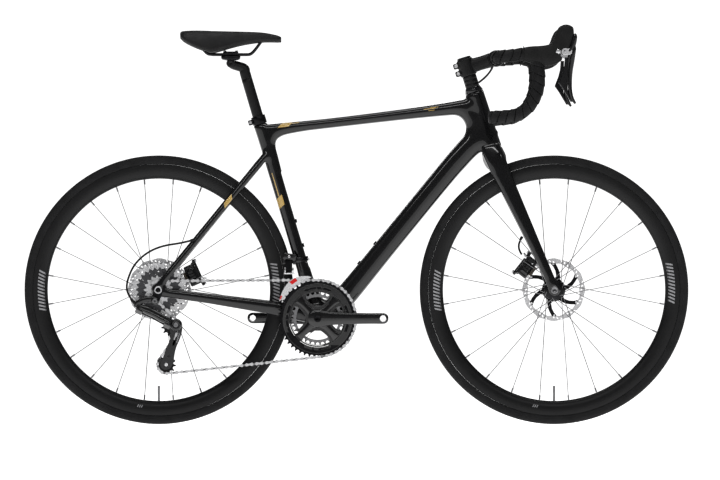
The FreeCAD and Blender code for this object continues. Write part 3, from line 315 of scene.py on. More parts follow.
def loft(name, stations, power=2.3, steps=32, per_span=6, side=None):
    """A body through rounded sections; a station is x, y, z, height in the section, width across, in mm.

    The sections stand square to the line through their centres, seen from the side.
    """
    rows = spline_rows(stations, per_span)
    unit = superellipse(steps, power)
    rings = []
    for i, row in enumerate(rows):
        ahead = rows[min(i + 1, len(rows) - 1)][:3] - rows[max(i - 1, 0)][:3]
        way = Vector((ahead[0], 0, ahead[2])) if side is None else Vector(side)
        way.normalize()
        up = Vector((-way.z, 0, way.x))
        centre = Vector(row[:3])
        rings.append([mm(centre + up * (u * row[3] / 2) + Y * (v * row[4] / 2)) for u, v in unit])
    return skin(name, rings)


def route_points(points, per_span=8):
    """A smooth line through points, as vectors in mm."""
    return [Vector(p) for p in spline_rows(points, per_span)]


def ring_frames(line):
    """Tangent and two cross directions along a line, carried without twist."""
    frames = []
    normal = None
    for i, p in enumerate(line):
        t = (line[min(i + 1, len(line) - 1)] - line[max(i - 1, 0)]).normalized()
        if normal is None:
            normal = t.orthogonal().normalized()
        normal = (normal - t * normal.dot(t)).normalized()
        frames.append((p, t, normal, t.cross(normal)))
    return frames


def pipe(name, points, radius, steps=16, per_span=8, squash=1.0):
    """A round or flattened tube through points in mm; radius is a number or one per point."""
    radii = radius if isinstance(radius, (list, tuple)) else [radius] * len(points)
    rows = spline_rows([(*p, r) for p, r in zip(points, radii)], per_span)
    line = [Vector(r[:3]) for r in rows]
    rings = []
    for (p, _, n, b), row in zip(ring_frames(line), rows):
        ring = []
        for k in range(steps):
            a = 2 * math.pi * k / steps
            ring.append(mm(p + n * (row[3] * math.cos(a)) + b * (row[3] * squash * math.sin(a))))
        rings.append(ring)
    return skin(name, rings)


def lathe(name, centre, outline, steps=96, closed=True):
    """Turns (radius, y) points in mm about the wheel axis through centre."""
    rings = []
    for i in range(steps):
        a = 2 * math.pi * i / steps
        c, s = math.cos(a), math.sin(a)
        rings.append([mm(centre + Vector((r * c, y, r * s))) for r, y in outline])
    count = len(outline)
    vertices = [p for ring in rings for p in ring]
    faces = []
    for i in range(steps):
        j = (i + 1) % steps
        for k in range(count if closed else count - 1):
            m = (k + 1) % count
            faces.append((i * count + k, i * count + m, j * count + m, j * count + k))
    return from_data(name, vertices, faces)


def arc_points(centre, radius, start, end, steps):
    """Points on an arc in the side view, angles in degrees from +X towards +Z."""
    out = []
    for i in range(steps + 1):
        a = math.radians(start + (end - start) * i / steps)
        out.append((centre[0] + radius * math.cos(a), centre[1] + radius * math.sin(a)))
    return out


def plate(name, outline, y_low, y_high, bevel=0.6, holes=(), segments=3):
    """A flat plate from a side-view outline in mm, with holes and rounded edges."""
    curve = bpy.data.curves.new(name, "CURVE")
    curve.dimensions = "2D"
    curve.fill_mode = "BOTH"
    for loop in [outline, *holes]:
        spline = curve.splines.new("POLY")
        spline.points.add(len(loop) - 1)
        for point, (x, z) in zip(spline.points, loop):
            point.co = (x * MM, z * MM, 0, 1)
        spline.use_cyclic_u = True
    curve.extrude = (y_high - y_low) / 2 * MM - bevel * MM
    curve.bevel_depth = bevel * MM
    curve.bevel_resolution = segments
    curve.offset = -bevel * MM
    obj = shown(bpy.data.objects.new(name, curve))
    bpy.context.view_layer.update()
    mesh = bpy.data.meshes.new_from_object(obj.evaluated_get(bpy.context.evaluated_depsgraph_get()))
    bpy.data.objects.remove(obj)
    turn = Matrix(((1, 0, 0, 0), (0, 0, -1, (y_low + y_high) / 2 * MM), (0, 1, 0, 0), (0, 0, 0, 1)))
    mesh.transform(turn)
    return shown(bpy.data.objects.new(name, mesh))


def circle(x, z, radius, steps=20):
    return arc_points((x, z), radius, 0, 360 * (steps - 1) / steps, steps - 1)


def stadium(a, b, radius_a, radius_b, steps=12):
    """The outline round two circles in the side view."""
    way = math.degrees(math.atan2(b[1] - a[1], b[0] - a[0]))
    run = math.hypot(b[0] - a[0], b[1] - a[1])
    lean = math.degrees(math.asin((radius_a - radius_b) / run))
    first = arc_points(a, radius_a, way + 90 - lean, way + 270 + lean, steps)
    second = arc_points(b, radius_b, way - 90 + lean, way + 90 - lean, steps)
    return first + second


def joined(name, pieces):
    """One object from several, with their materials."""
    for piece in pieces:
        piece.data = piece.data.copy()
    with bpy.context.temp_override(active_object=pieces[0], selected_editable_objects=pieces,
                                   object=pieces[0], selected_objects=pieces):
        bpy.ops.object.join()
    pieces[0].name = name
    return pieces[0]


def mirrored(obj, name):
    """A copy on the other side of the centre plane."""
    twin = shown(bpy.data.objects.new(name, obj.data.copy()))
    twin.data.transform(Matrix.Scale(-1, 4, Y))
    twin.data.flip_normals()
    return twin


def relaxed(obj, rounds, near=()):
    """Smooths a mesh without shrinking it, and rounds the hollows near given places.

    near holds (point in mm, reach in mm, extra rounds).
    """
    mesh = obj.data
    count = len(mesh.vertices)
    co = np.zeros(count * 3)
    mesh.vertices.foreach_get("co", co)
    co = co.reshape(-1, 3)
    edges = np.zeros(len(mesh.edges) * 2, int)
    mesh.edges.foreach_get("vertices", edges)
    a, b = edges[::2], edges[1::2]
    degree = np.maximum(np.bincount(a, minlength=count) + np.bincount(b, minlength=count), 1)[:, None]

    def mean(p):
        out = np.zeros_like(p)
        for k in range(3):
            out[:, k] = np.bincount(a, p[b, k], count) + np.bincount(b, p[a, k], count)
        return out / degree

    for point, reach, extra in near:
        weight = np.clip(1 - np.linalg.norm(co - np.array(point) * MM, axis=1) / (reach * MM), 0, 1)
        weight = (weight * weight * (3 - 2 * weight))[:, None]
        for _ in range(extra):
            co += weight * 0.5 * (mean(co) - co)
    for _ in range(rounds):
        co += 0.5 * (mean(co) - co)
        co -= 0.52 * (mean(co) - co)
    mesh.vertices.foreach_set("co", co.ravel())
    mesh.update()
    return obj


def calmed(obj, rounds):
    """Averages the shading normals over their neighbours, so reflections run smoothly."""
    mesh = obj.data
    count = len(mesh.vertices)
    normals = np.zeros(count * 3)
    mesh.vertices.foreach_get("normal", normals)
    normals = normals.reshape(-1, 3)
    edges = np.zeros(len(mesh.edges) * 2, int)
    mesh.edges.foreach_get("vertices", edges)
    a, b = edges[::2], edges[1::2]
    for _ in range(rounds):
        total = normals.copy()
        for k in range(3):
            total[:, k] += np.bincount(a, normals[b, k], count) + np.bincount(b, normals[a, k], count)
        normals = total / np.maximum(np.linalg.norm(total, axis=1), 1e-9)[:, None]
    mesh.normals_split_custom_set_from_vertices(normals.tolist())
    return obj


def moulded(name, pieces, voxel, rounds=6, near=()):
    """Fuses overlapping bodies into one skin with soft joins."""
    obj = joined(name, pieces)
    remesh = obj.modifiers.new("fuse", "REMESH")
    remesh.mode = "VOXEL"
    remesh.voxel_size = voxel * MM
    baked(obj)
    relaxed(obj, rounds, near)
    obj.data.polygons.foreach_set("use_smooth", [True] * len(obj.data.polygons))
    return obj


def bevelled(obj, width, segments=3, angle=30):
    edge = obj.modifiers.new("edge", "BEVEL")
    edge.width = width * MM
    edge.segments = segments
    edge.limit_method = "ANGLE"
    edge.angle_limit = math.radians(angle)
    baked(obj)
    for polygon in obj.data.polygons:
        polygon.use_smooth = True
    obj.data.set_sharp_from_angle(angle=math.radians(40))
    return obj


def block(name, low, high, bevel=1.0, turn=0.0, about=None):
    """A box with rounded edges, turned about Y in the side view, in mm."""
    work = bmesh.new()
    bmesh.ops.create_cube(work, size=1.0)
    size = Vector(high) - Vector(low)
    middle = (Vector(high) + Vector(low)) / 2
    for v in work.verts:
        v.co = mm(Vector((v.co.x * size.x, v.co.y * size.y, v.co.z * size.z)) + middle)
    mesh = bpy.data.meshes.new(name)
    work.to_mesh(mesh)
    work.free()
    obj = shown(bpy.data.objects.new(name, mesh))
    bevelled(obj, bevel)
    if turn:
        pivot = mm(about if about is not None else middle)
        move = Matrix.Translation(pivot) @ Matrix.Rotation(math.radians(turn), 4,
            "Y") @ Matrix.Translation(-pivot)
        obj.data.transform(move)
    return obj


def screw(name, centre, outward, radius=3.5, height=3.0, hexagon=1.8):
    """A socket-head screw, its head standing on centre and facing outward, in mm."""
    outward = Vector(outward).normalized()
    turn = outward.to_track_quat("Z", "Y").to_matrix().to_4x4()
    rim = [(radius, 0), (radius, height - 0.5), (radius - 0.5, height), (hexagon, height)]
    rings = []
    for r, h in [(0.01, 0)] + rim:
        steps = 24
        rings.append([Vector((r * math.cos(2 * math.pi * k / steps),
            r * math.sin(2 * math.pi * k / steps), h))
                      for k in range(steps)])
    socket = []
    for h in (height, height - 1.6):
        ring = []
        for k in range(24):
            a = 2 * math.pi * k / 24
            r = hexagon * 0.9 / max(math.cos((a % (math.pi / 3)) - math.pi / 6), 0.5)
            ring.append(Vector((r * math.cos(a), r * math.sin(a), h)))
        socket.append(ring)
    rings = rings + socket + [[Vector((0, 0, height - 1.6))] * 24]
    placed = [[mm(Vector(centre) + turn @ p) for p in ring] for ring in rings]
    obj = skin(name, placed, closed_ends=False)
    obj.data.set_sharp_from_angle(angle=math.radians(40))
    return obj


def riding(obj, body, m, *replaced, slot=None):
    """Finishes a piece: its body, its material and the CAD nodes that it stands for."""
    if m is not None:
        wear(obj, m)
    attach(obj, body)
    if replaced:
        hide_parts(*replaced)
    return obj


# -------------------------------------------------------------- the studio

CAMERA_DISTANCE = 20.0
CAMERA_PLACE = (0.009, -CAMERA_DISTANCE, 0.466)
PICTURE_WIDTH = 1.822
SENSOR_WIDTH = 36.0


def make_camera():
    """Square to the drive side, at the height of the bicycle's middle."""
    data = bpy.data.cameras.new("camera")
    data.sensor_width = SENSOR_WIDTH
    data.lens = SENSOR_WIDTH * CAMERA_DISTANCE / PICTURE_WIDTH
    data.clip_end = 120
    camera = shown(bpy.data.objects.new("camera", data))
    camera.location = CAMERA_PLACE
    camera.rotation_euler = (math.radians(90), 0, 0)
    bpy.context.scene.camera = camera


def make_floor():
    """A plain white floor that reaches far past the camera."""
    radius, rings, steps = 60.0, 6, 64
    vertices = [(0, 0, 0)]
    for i in range(1, rings + 1):
        for k in range(steps):
            a = 2 * math.pi * k / steps
            r = radius * (i / rings) ** 2
            vertices.append((r * math.cos(a), r * math.sin(a), 0))
    faces = [(0, 1 + k, 1 + (k + 1) % steps) for k in range(steps)]
    for i in range(rings - 1):
        a, b = 1 + i * steps, 1 + (i + 1) * steps
        for k in range(steps):
            m = (k + 1) % steps
            faces.append((a + k, b + k, b + m, a + m))
    floor = from_data("studio_floor", vertices, faces)
    if floor.data.polygons[0].normal.z < 0:
        floor.data.flip_normals()
    paper = material("studio_paper", (0.93, 0.93, 0.93), rough=0.9, specular=0.1)
    mottled(paper, 3, 0.86, 0.94)
    shader_of(paper).inputs["Emission Color"].default_value = (1, 1, 1, 1)
    shader_of(paper).inputs["Emission Strength"].default_value = 0.88
    wear(floor, paper)


def make_light(name, place, target, size, power):
    data = bpy.data.lights.new(name, "AREA")
    data.shape = "RECTANGLE"
    data.size, data.size_y = size
    data.energy = power
    lamp = shown(bpy.data.objects.new(name, data))
    lamp.location = place
    lamp.rotation_euler = (Vector(target) - Vector(place)).to_track_quat("-Z", "Y").to_euler()
    return lamp


def make_world():
    """White where it is seen, dim where it only lights and is reflected."""
    world = bpy.data.worlds.new("studio_world")
    bpy.context.scene.world = world
    world.use_nodes = True
    tree = world.node_tree
    seen = tree.nodes["Background"]
    seen.inputs["Color"].default_value = (1, 1, 1, 1)
    seen.inputs["Strength"].default_value = 1.0
    dim = tree.nodes.new("ShaderNodeBackground")
    dim.inputs["Color"].default_value = (1, 1, 1, 1)
    dim.inputs["Strength"].default_value = 0.16
    path = tree.nodes.new("ShaderNodeLightPath")
    mix = tree.nodes.new("ShaderNodeMixShader")
    tree.links.new(path.outputs["Is Camera Ray"], mix.inputs[0])
    tree.links.new(dim.outputs[0], mix.inputs[1])
    tree.links.new(seen.outputs[0], mix.inputs[2])
    tree.links.new(mix.outputs[0], tree.nodes["World Output"].inputs["Surface"])


def make_studio():
    make_world()
    make_light("top_softbox", (0.0, -0.3, 3.4), (0, 0, 0.4), (4.0, 0.9), 42)
    make_light("camera_side_strip", (0.0, -3.0, 2.6), (0, 0, 0.5), (4.5, 0.2), 26)
    make_light("far_side_strip", (0.0, 3.0, 2.4), (0, 0, 0.5), (4.5, 0.4), 24)
    bpy.context.scene.view_settings.view_transform = "Standard"
    bpy.context.scene.view_settings.look = "Medium High Contrast"


make_camera()
make_floor()
make_studio()


MATERIALS["cogs"] = make_steel("cassette_steel", (0.40, 0.40, 0.41), (0.66, 0.66, 0.67), (0.24, 0.38))
MATERIALS["gloss_lever"] = make_satin("gloss_lever", (0.008, 0.008, 0.009), (0.16, 0.24), 0.4)
MATERIALS["tyre"] = make_rubber("tyre_rubber", (0.013, 0.013, 0.0135), 700, 0.2, (0.7, 0.85))


# ------------------------------------------------------------ gloss paint

GOLD = (0.52, 0.36, 0.12)
PAINT = (0.0035, 0.0035, 0.0038)


def patch_mask(m, centre, angle, half_length, half_height, skew=0.0):
    """A slanted parallelogram in the side view, seen on both sides: 1 inside, else 0."""
    coordinates = add(m, "ShaderNodeTexCoord")
    mapping = add(m, "ShaderNodeMapping", vector_type="TEXTURE")
    mapping.inputs["Location"].default_value = (centre[0] * MM, 0, centre[1] * MM)
    mapping.inputs["Rotation"].default_value = (0, -math.radians(angle), 0)
    link(m, coordinates, "Object", mapping, "Vector")
    apart = add(m, "ShaderNodeSeparateXYZ")
    link(m, mapping, "Vector", apart, "Vector")
    slant = add(m, "ShaderNodeMath", operation="MULTIPLY_ADD")
    slant.inputs[1].default_value = skew
    link(m, apart, "Z", slant, 0)
    link(m, apart, "X", slant, 2)
    inside = []
    for value, out, half in ((slant, 0, half_length), (apart, "Z", half_height)):
        size = add(m, "ShaderNodeMath", operation="ABSOLUTE")
        link(m, value, out, size, 0)
        test = add(m, "ShaderNodeMath", operation="LESS_THAN")
        test.inputs[1].default_value = half * MM
        link(m, size, 0, test, 0)
        inside.append(test)
    both = add(m, "ShaderNodeMath", operation="MULTIPLY")
    link(m, inside[0], 0, both, 0)
    link(m, inside[1], 0, both, 1)
    return both


def combined(m, masks, operation="MAXIMUM"):
    whole = masks[0]
    for mask in masks[1:]:
        joint = add(m, "ShaderNodeMath", operation=operation)
        link(m, whole, 0, joint, 0)
        link(m, mask, 0, joint, 1)
        whole = joint
    return whole


def make_frame_paint():
    """Gloss black lacquer over fine flake, with plain gold decals."""
    m = material("gloss_black_paint", PAINT, rough=0.24, coat=0.8, coat_rough=0.03, specular=0.2)
    flake = tinted(m, 900, PAINT, (0.008, 0.008, 0.009), detail=2)
    mottled(m, 14, 0.18, 0.26)
    where = place_of(m)
    waves = add(m, "ShaderNodeTexNoise", Scale=9.0, Detail=2.0)
    link(m, where, "Vector", waves, "Vector")
    bumped(m, waves, "Fac", 0.01, 0.001)
    up = 106.5
    decals = [
        patch_mask(m, (-192.5, 562), up, 13, 9, 0.5),
        patch_mask(m, (-203, 600), up, 25, 1.3, 0.0),
        patch_mask(m, (-208, 616), up, 20, 0.9, 0.0),
        patch_mask(m, (-324, 564), 51, 15, 5.2, -0.9),
        patch_mask(m, (-180, 757.5), 7, 14, 5.4, -1.2),
        patch_mask(m, (-155, 762.0), 7, 10, 0.9, -1.2),
        patch_mask(m, (185, 798), 7, 15, 0.9, -0.8),
        patch_mask(m, (197, 801.5), 7, 10, 0.8, -0.8),
        patch_mask(m, (190, 794), 7, 8, 0.7, -0.8),
    ]
    mask = combined(m, decals)
    mix = add(m, "ShaderNodeMix", data_type="RGBA")
    shader = shader_of(m)
    m.node_tree.links.new(flake.outputs["Color"], mix.inputs["A"])
    link(m, mask, 0, mix, "Factor")
    gold = add(m, "ShaderNodeTexNoise", Scale=1200.0, Detail=2.0)
    gold_ramp = add(m, "ShaderNodeValToRGB")
    gold_ramp.color_ramp.elements[0].color = (*(c * 0.8 for c in GOLD), 1)
    gold_ramp.color_ramp.elements[1].color = (*GOLD, 1)
    link(m, where, "Vector", gold, "Vector")
    link(m, gold, "Fac", gold_ramp, "Fac")
    m.node_tree.links.new(gold_ramp.outputs["Color"], mix.inputs[7])
    m.node_tree.links.new(flake.outputs["Color"], mix.inputs[6])
    m.node_tree.links.new(mix.outputs[2], shader.inputs["Base Color"])
    return m


MATERIALS["paint"] = make_frame_paint()


# ------------------------------------------------------------------ frame

SEAT_LENGTH = 511.6
FRAME_VOXEL = 2.4


def along(start, way, table, side_y=None):
    """Stations x, y, z, height, width from (distance, height, width) along a line in the side view."""
    way = Vector(way).normalized()
    rows = []
    for distance, height, width in table:
        p = Vector(start) + way * distance
        rows.append((p.x, p.y if side_y is None else side_y, p.z, height, width))
    return rows


def seat_point(distance):
    return BB + SEAT_UP * distance


def steer_at(distance, forward=0.0, y=0.0):
    """A point by the steering axis: distance above the head tube's foot, forward square to the axis."""
    ahead = Vector((STEER_UP.z, 0, -STEER_UP.x))
    return HEAD_LOW + STEER_UP * distance + ahead * forward + Y * y


def make_main_tubes():
    """The five tubes of the main frame, overlapping where they meet."""
    pieces = []
    pieces.append(loft("head", along(HEAD_LOW, STEER_UP, [
        (-0.2, 53, 53), (12, 53.5, 53), (40, 52, 48), (90, 50, 45), (130, 48, 45),
            (HEAD_LENGTH + 0.2, 47, 46),
    ]), 2.15))
    pieces.append(loft("down", [
        (350, 0, 716, 52, 46), (330, 0, 722, 56, 48), (298, 0, 712, 58, 49), (262, 0, 676, 55, 48),
            (206, 0, 610, 53, 47),
        (80.7, 0, 456.3, 53, 48), (-20, 0, 332.8, 56, 54), (-76, 0, 272, 60, 64),
    ], 2.9, per_span=8))
    pieces.append(loft("top", [
        (-238, 0, 742, 24, 28), (-222, 0, 745, 27, 29), (-190, 0, 748.5, 27, 31), (-60, 0, 762.5, 25, 33),
        (100, 0, 781.5, 27, 35), (200, 0, 793.5, 31, 37), (262, 0, 801, 37, 40), (300, 0, 806, 44, 42),
            (312, 0, 808, 46, 42),
    ], 2.7, per_span=8))
    pieces.append(loft("seat", along(BB, SEAT_UP, [
        (-4, 44, 62), (30, 38, 52), (80, 33, 42), (300, 31.5, 35), (430, 33, 34),
            (SEAT_LENGTH, 34.5, 34.5),
    ]), 2.2))
    pieces.append(lathe("shell", BB, [(20.6, -42.9), (27.5, -42.9), (28.5, -40), (30, -20), (30, 20),
        (28.5, 40),
                                      (27.5, 42.9), (20.6, 42.9)], 72))
    return pieces


def make_gussets():
    """Bent bodies that round off the frame's inner corners."""
    head = loft("head_corner", [
        (150, 0, 543, 48, 44), (185, 0, 586, 50, 45), (222, 0, 629, 50, 45.5), (262, 0, 672, 50, 46),
            (290, 0, 708, 52, 45.5),
        (302, 0, 742, 50, 44), (290, 0, 776, 42, 42), (258, 0, 797, 34, 39), (200, 0, 793, 29, 37),
            (150, 0, 787.5, 26, 35.5),
    ], 2.8, per_span=8)
    seat = loft("seat_corner", [
        (-120, 0, 755.5, 25, 31), (-160, 0, 750, 27, 31), (-192, 0, 743, 29, 31.5),
            (-214, 0, 728, 31, 32), (-220, 0, 704, 31, 32.5),
        (-213, 0, 672, 31, 33), (-204, 0, 636, 31, 33),
    ], 2.6, per_span=8)
    foot = loft("foot_corner", [
        (-30, 0, 322, 50, 46), (-66, 0, 288, 54, 50), (-98, 0, 300, 46, 48), (-118, 0, 340, 38, 42),
            (-134, 0, 392, 34, 37),
    ], 2.6, per_span=8)
    return [head, seat, foot]


def make_stays(sign):
    chain = loft("chainstay", [
        (-492, sign * 75.1, 334, 24, 7.4), (-476, sign * 74.6, 331.5, 22, 8.5),
            (-440, sign * 70.5, 327, 23, 12.5),
        (-380, sign * 62, 319, 24, 15), (-330, sign * 53.5, 312, 27, 17), (-230, sign * 39, 297.5, 33, 17),
        (-200, sign * 34, 292, 35, 16), (-165, sign * 30.5, 285, 37, 15.5), (-108, sign * 29, 274, 40, 16),
    ], 3.2, per_span=7)
    seat = loft("seatstay", [
        (-500, sign * 75.1, 347, 18, 7.4), (-488, sign * 75.0, 362, 18, 8),
            (-470, sign * 71.8, 385, 17.5, 10.5),
        (-400, sign * 57.5, 471, 17.5, 12.5), (-330, sign * 41.5, 557, 17.5, 13),
            (-275, sign * 27.5, 624, 18, 13),
        (-226, sign * 13.5, 684, 20, 13),
    ], 2.8, per_span=7)
    drop = plate("dropout", stadium((-500, 340), (-478, 333), 16, 11.5), min(sign * 71.4, sign * 78.8),
                 max(sign * 71.4, sign * 78.8), 1.0)
    tab = plate("dropout_tab", stadium((-500, 340), (-486, 364), 14, 9), min(sign * 71.4, sign * 78.8),
                max(sign * 71.4, sign * 78.8), 1.0)
    return [chain, seat, drop, tab]


def make_frame():
    """One moulded frame: tubes, stays and dropouts fused, their corners smoothed into fillets."""
    pieces = make_main_tubes() + make_gussets() + make_stays(-1) + make_stays(1)
    corners = [
        ((290, 0, 740), 90, 55), ((-224, 0, 712), 55, 30), ((-232, 0, 668), 34, 24),
            ((-88, 0, 322), 62, 36),
        ((-150, 0, 300), 50, 30), ((334, 0, 700), 36, 14), ((286, 0, 826), 34, 12),
        ((-480, 75, 346), 24, 10), ((-480, -75, 346), 24, 10),
    ]
    body = moulded("frame_body", pieces, FRAME_VOXEL, 14, corners)
    holes = [bored_cylinder("post_room", seat_point(240), seat_point(560), 13.75),
             bored_cylinder("head_room", steer_at(-20), steer_at(HEAD_LENGTH + 20), 20.97),
             bored_cylinder("axle_room", REAR - Y * 100, REAR + Y * 100, 6.1)]
    for hole in holes:
        carve(body, hole)
    body.data.polygons.foreach_set("use_smooth", [True] * len(body.data.polygons))
    calmed(body, 14)
    riding(body, "frame", "paint", "main_frame", "rear_triangle", slot="gloss_black")


def bored_cylinder(name, start, end, radius, steps=48):
    """A plain round cutter between two points, in mm."""
    frames = ring_frames([Vector(start), Vector(end)])
    rings = []
    for p, _, n, b in frames:
        rings.append([mm(p + n * (radius * math.cos(2 * math.pi * k / steps))
                         + b * (radius * math.sin(2 * math.pi * k / steps))) for k in range(steps)])
    return skin(name, rings)


def carve(obj, cutter, keep_cutter=False):
    cut = obj.modifiers.new("cut", "BOOLEAN")
    cut.operation = "DIFFERENCE"
    cut.object = cutter
    cut.solver = "EXACT"
    baked(obj)
    if not keep_cutter:
        bpy.data.objects.remove(cutter)
    return obj


make_frame()


# ------------------------------------------------------------------- fork

def make_fork_blade(sign):
    blade = loft("blade", [
        (338, sign * 17, 708, 46, 30), (343, sign * 23, 690, 50, 28), (352, sign * 29, 668, 50, 25),
        (364, sign * 33.5, 640, 47, 20), (380, sign * 37.5, 606, 42, 18.5),
            (403, sign * 42.2, 556, 37.5, 17.5),
        (434, sign * 48.6, 489, 31.5, 16), (468, sign * 54, 414, 26, 13.8),
            (490, sign * 56.3, 364, 24.5, 12.4),
        (500, sign * 56.4, 342, 25, 12.2),
    ], 2.9, per_span=8)
    end = plate("fork_end", stadium((492, 358), (500, 340), 12.5, 14.5), min(sign * 50.4, sign * 62.3),
                max(sign * 50.4, sign * 62.3), 1.4)
    return [blade, end]


def make_fork():
    crown = loft("crown", along(HEAD_LOW, STEER_UP, [(-46, 48, 44), (-36, 56, 58), (-22, 60, 62),
        (-9, 56, 56),
                                                   (-0.7, 53.5, 53)]), 2.5)
    body = moulded("fork_body", [crown] + make_fork_blade(-1) + make_fork_blade(1), FRAME_VOXEL * 0.85, 8,
                   [((352, 30, 672), 34, 8), ((352, -30, 672), 34, 8)])
    arch = lathe("tyre_room", FRONT, [(TYRE_RADIUS + 5.5, -19.5), (TYRE_RADIUS - 60, -22.5),
        (TYRE_RADIUS - 60, 22.5),
                                      (TYRE_RADIUS + 5.5, 19.5)], 120)
    carve(body, arch)
    carve(body, bored_cylinder("axle_room", FRONT - Y * 90, FRONT + Y * 90, 6.1))
    body.data.polygons.foreach_set("use_smooth", [True] * len(body.data.polygons))
    calmed(body, 10)
    steerer = bored_cylinder("steerer", steer_at(-10), steer_at(HEAD_LENGTH + 60), 14.25)
    body = joined("fork_body", [body, steerer])
    riding(body, "steering", "paint", "fork", slot="gloss_black")


make_fork()


# --------------------------------------------------------- saddle and post

SADDLE_LENGTHS = [
    # x, half width at the skirt, z of the skirt edge, z of the top, half width of the top
    (-446, 26, 985, 990, 16), (-441, 46, 977, 993.5, 32), (-428, 60, 968, 995, 46),
        (-405, 68.5, 957, 995.5, 55),
    (-378, 70.5, 947, 995, 58), (-366, 69, 944, 994.5, 57), (-345, 60, 949, 994, 50),
        (-318, 48, 957, 993.5, 40),
    (-290, 36, 964, 993, 30), (-262, 28, 969, 992.3, 23), (-235, 23, 972, 990.5, 19),
        (-212, 20, 972.5, 986.5, 16),
    (-198, 15.5, 972.5, 983, 12), (-190, 7, 974, 979, 5),
]


def saddle_ring(x, half, low, high, inset=0.0):
    """Half an arch over the saddle, from the right skirt edge over the top to the left."""
    points = []
    steps = 22
    for i in range(steps + 1):
        t = -1 + 2 * i / steps
        a = abs(t)
        width = half * min(1.0, a ** 0.85)
        fall = max(0.0, (a - 0.42) / 0.58)
        z = high - (high - low) * fall ** 1.9 - 1.6 * math.exp(-(t / 0.12) ** 2) * (1 if half > 30 else 0.5)
        y = math.copysign(width, t) if i != steps / 2 else 0.0
        shrink = 1 - inset / max(half, 6)
        points.append(mm((x, y * shrink, z - inset)))
    return points


def make_saddle_pad():
    """The stuffed cover: a crowned top that rolls down into a thin skirt along each side."""
    rows = spline_rows(SADDLE_LENGTHS, 5)
    rings = []
    for x, half, low, high, top_half in rows:
        outer = saddle_ring(x, half, low, high)
        inner = saddle_ring(x, half - 3, low, high, 9.0)
        rings.append(outer + inner[::-1])
    pad = skin("saddle_cover", rings)
    smooth = pad.modifiers.new("round", "SUBSURF")
    smooth.levels = 1
    baked(pad)
    relaxed(pad, 3)
    leather = material("saddle_cover", (0.010, 0.010, 0.0105), rough=0.55, specular=0.3)
    tinted(leather, 22, (0.008, 0.008, 0.0085), (0.014, 0.014, 0.0145))
    mottled(leather, 55, 0.5, 0.62)
    pebbled(leather, 1100, 0.22, 0.0003)
    grained(leather, 90, 0.08, 0.0008)
    riding(pad, "saddle", leather, "saddle_pad", slot="cover")


def make_saddle_shell():
    """The moulded base under the cover, with its rail sockets at nose and tail."""
    rows = [(x, half - 5, low + 2.5, high - 8, top) for x, half, low, high, top in SADDLE_LENGTHS[1:-1]]
    rings = []
    for x, half, low, high, top_half in spline_rows(rows, 5):
        outer = saddle_ring(x, half, low, high)
        inner = saddle_ring(x, half - 2.6, low, high, 2.8)
        rings.append(outer + inner[::-1])
    shell = skin("shell", rings)
    nose = block("nose_socket", (-246, -15, 966), (-226, 15, 982), 3)
    tails = [block("tail_socket", (-404, side * 33 - 8, 953), (-385, side * 33 + 8, 975),
        3) for side in (-1, 1)]
    ribs = [block("rib", (-360, y - 1.1, 972), (-270, y + 1.1, 984), 0.5) for y in (-9, 0, 9)]
    riding(joined("saddle_base", [shell, nose] + tails + ribs), "saddle", "plastic", "saddle_shell",
        slot="plastic")


def make_rails():
    rails = []
    for side in (-1, 1):
        rails.append(pipe("rail", [
            (-234, side * 10, 975), (-243, side * 12.5, 965), (-252, side * 15.5, 953),
                (-262, side * 19.4, 941),
            (-270, side * 21.6, 935.8), (-278, side * 22, 935), (-300, side * 22, 935),
                (-336, side * 22, 935),
            (-358, side * 22, 935), (-366, side * 23.2, 935.4), (-379, side * 27, 939),
                (-396, side * 33, 958),
        ], 3.5, steps=16, per_span=6))
    riding(joined("saddle_rail_pair", rails), "saddle", MATERIALS["black"], "saddle_rails", slot="steel")


def make_saddle_clamp():
    """Lower cradle, upper jaws and two bolts, finished black."""
    x = -318.0
    cradle = loft("cradle", [(x - 24, 0, 929.5, 9, 44), (x - 19, 0, 928, 13, 54), (x, 0, 927, 15, 58),
                             (x + 19, 0, 928, 13, 54), (x + 24, 0, 929.5, 9, 44)], 4.0, side=(1, 0, 0))
    parts = [cradle]
    for side in (-1, 1):
        parts.append(block("jaw", (x - 19, side * 22 - 7.5, 934.5), (x + 19, side * 22 + 7.5, 942.5), 2.5))
    parts.append(block("bridge", (x - 18, -15, 937), (x + 18, 15, 942), 1.5))
    clamp = joined("saddle_clamp_block", parts)
    for side in (-1, 1):
        carve(clamp, bored_cylinder("groove", (x - 60, side * 22, 935), (x + 60, side * 22, 935), 3.56))
    wear(clamp, "black")
    screws = [screw("clamp_screw", (x + d, 0, 942), (0, 0, 1), 4.0, 3.5, 2.0) for d in (-15, 15)]
    for piece in screws:
        wear(piece, "steel")
    riding(joined("saddle_clamp_block", [clamp] + screws), "saddle_clamp", None, "saddle_clamp",
        slot="black_anodised")


def make_post():
    """Round post that leans back into a rounded clamp head."""
    head_at = Vector((-318, 0, 913))
    low, high = seat_point(350), seat_point(636)
    post = pipe("post", [low, seat_point(420), seat_point(500), seat_point(580), high], 13.6, steps=40,
        per_span=3)
    neck = loft("neck", [(*seat_point(632), 27.2, 27.2), (*seat_point(648), 27, 27),
        (*seat_point(660), 25, 26.5),
                         (-313, 0, 910, 23, 27.5), (-316, 0, 917, 20, 28)], 2.2)
    head = lathe("head", head_at, [(0.4, -17), (9.5, -17), (11, -15.5), (11, 15.5), (9.5, 17),
        (0.4, 17)], 48)
    body = joined("post_body", [post, neck, head])
    riding(body, "seatpost", "satin", "seatpost", slot="satin_black")


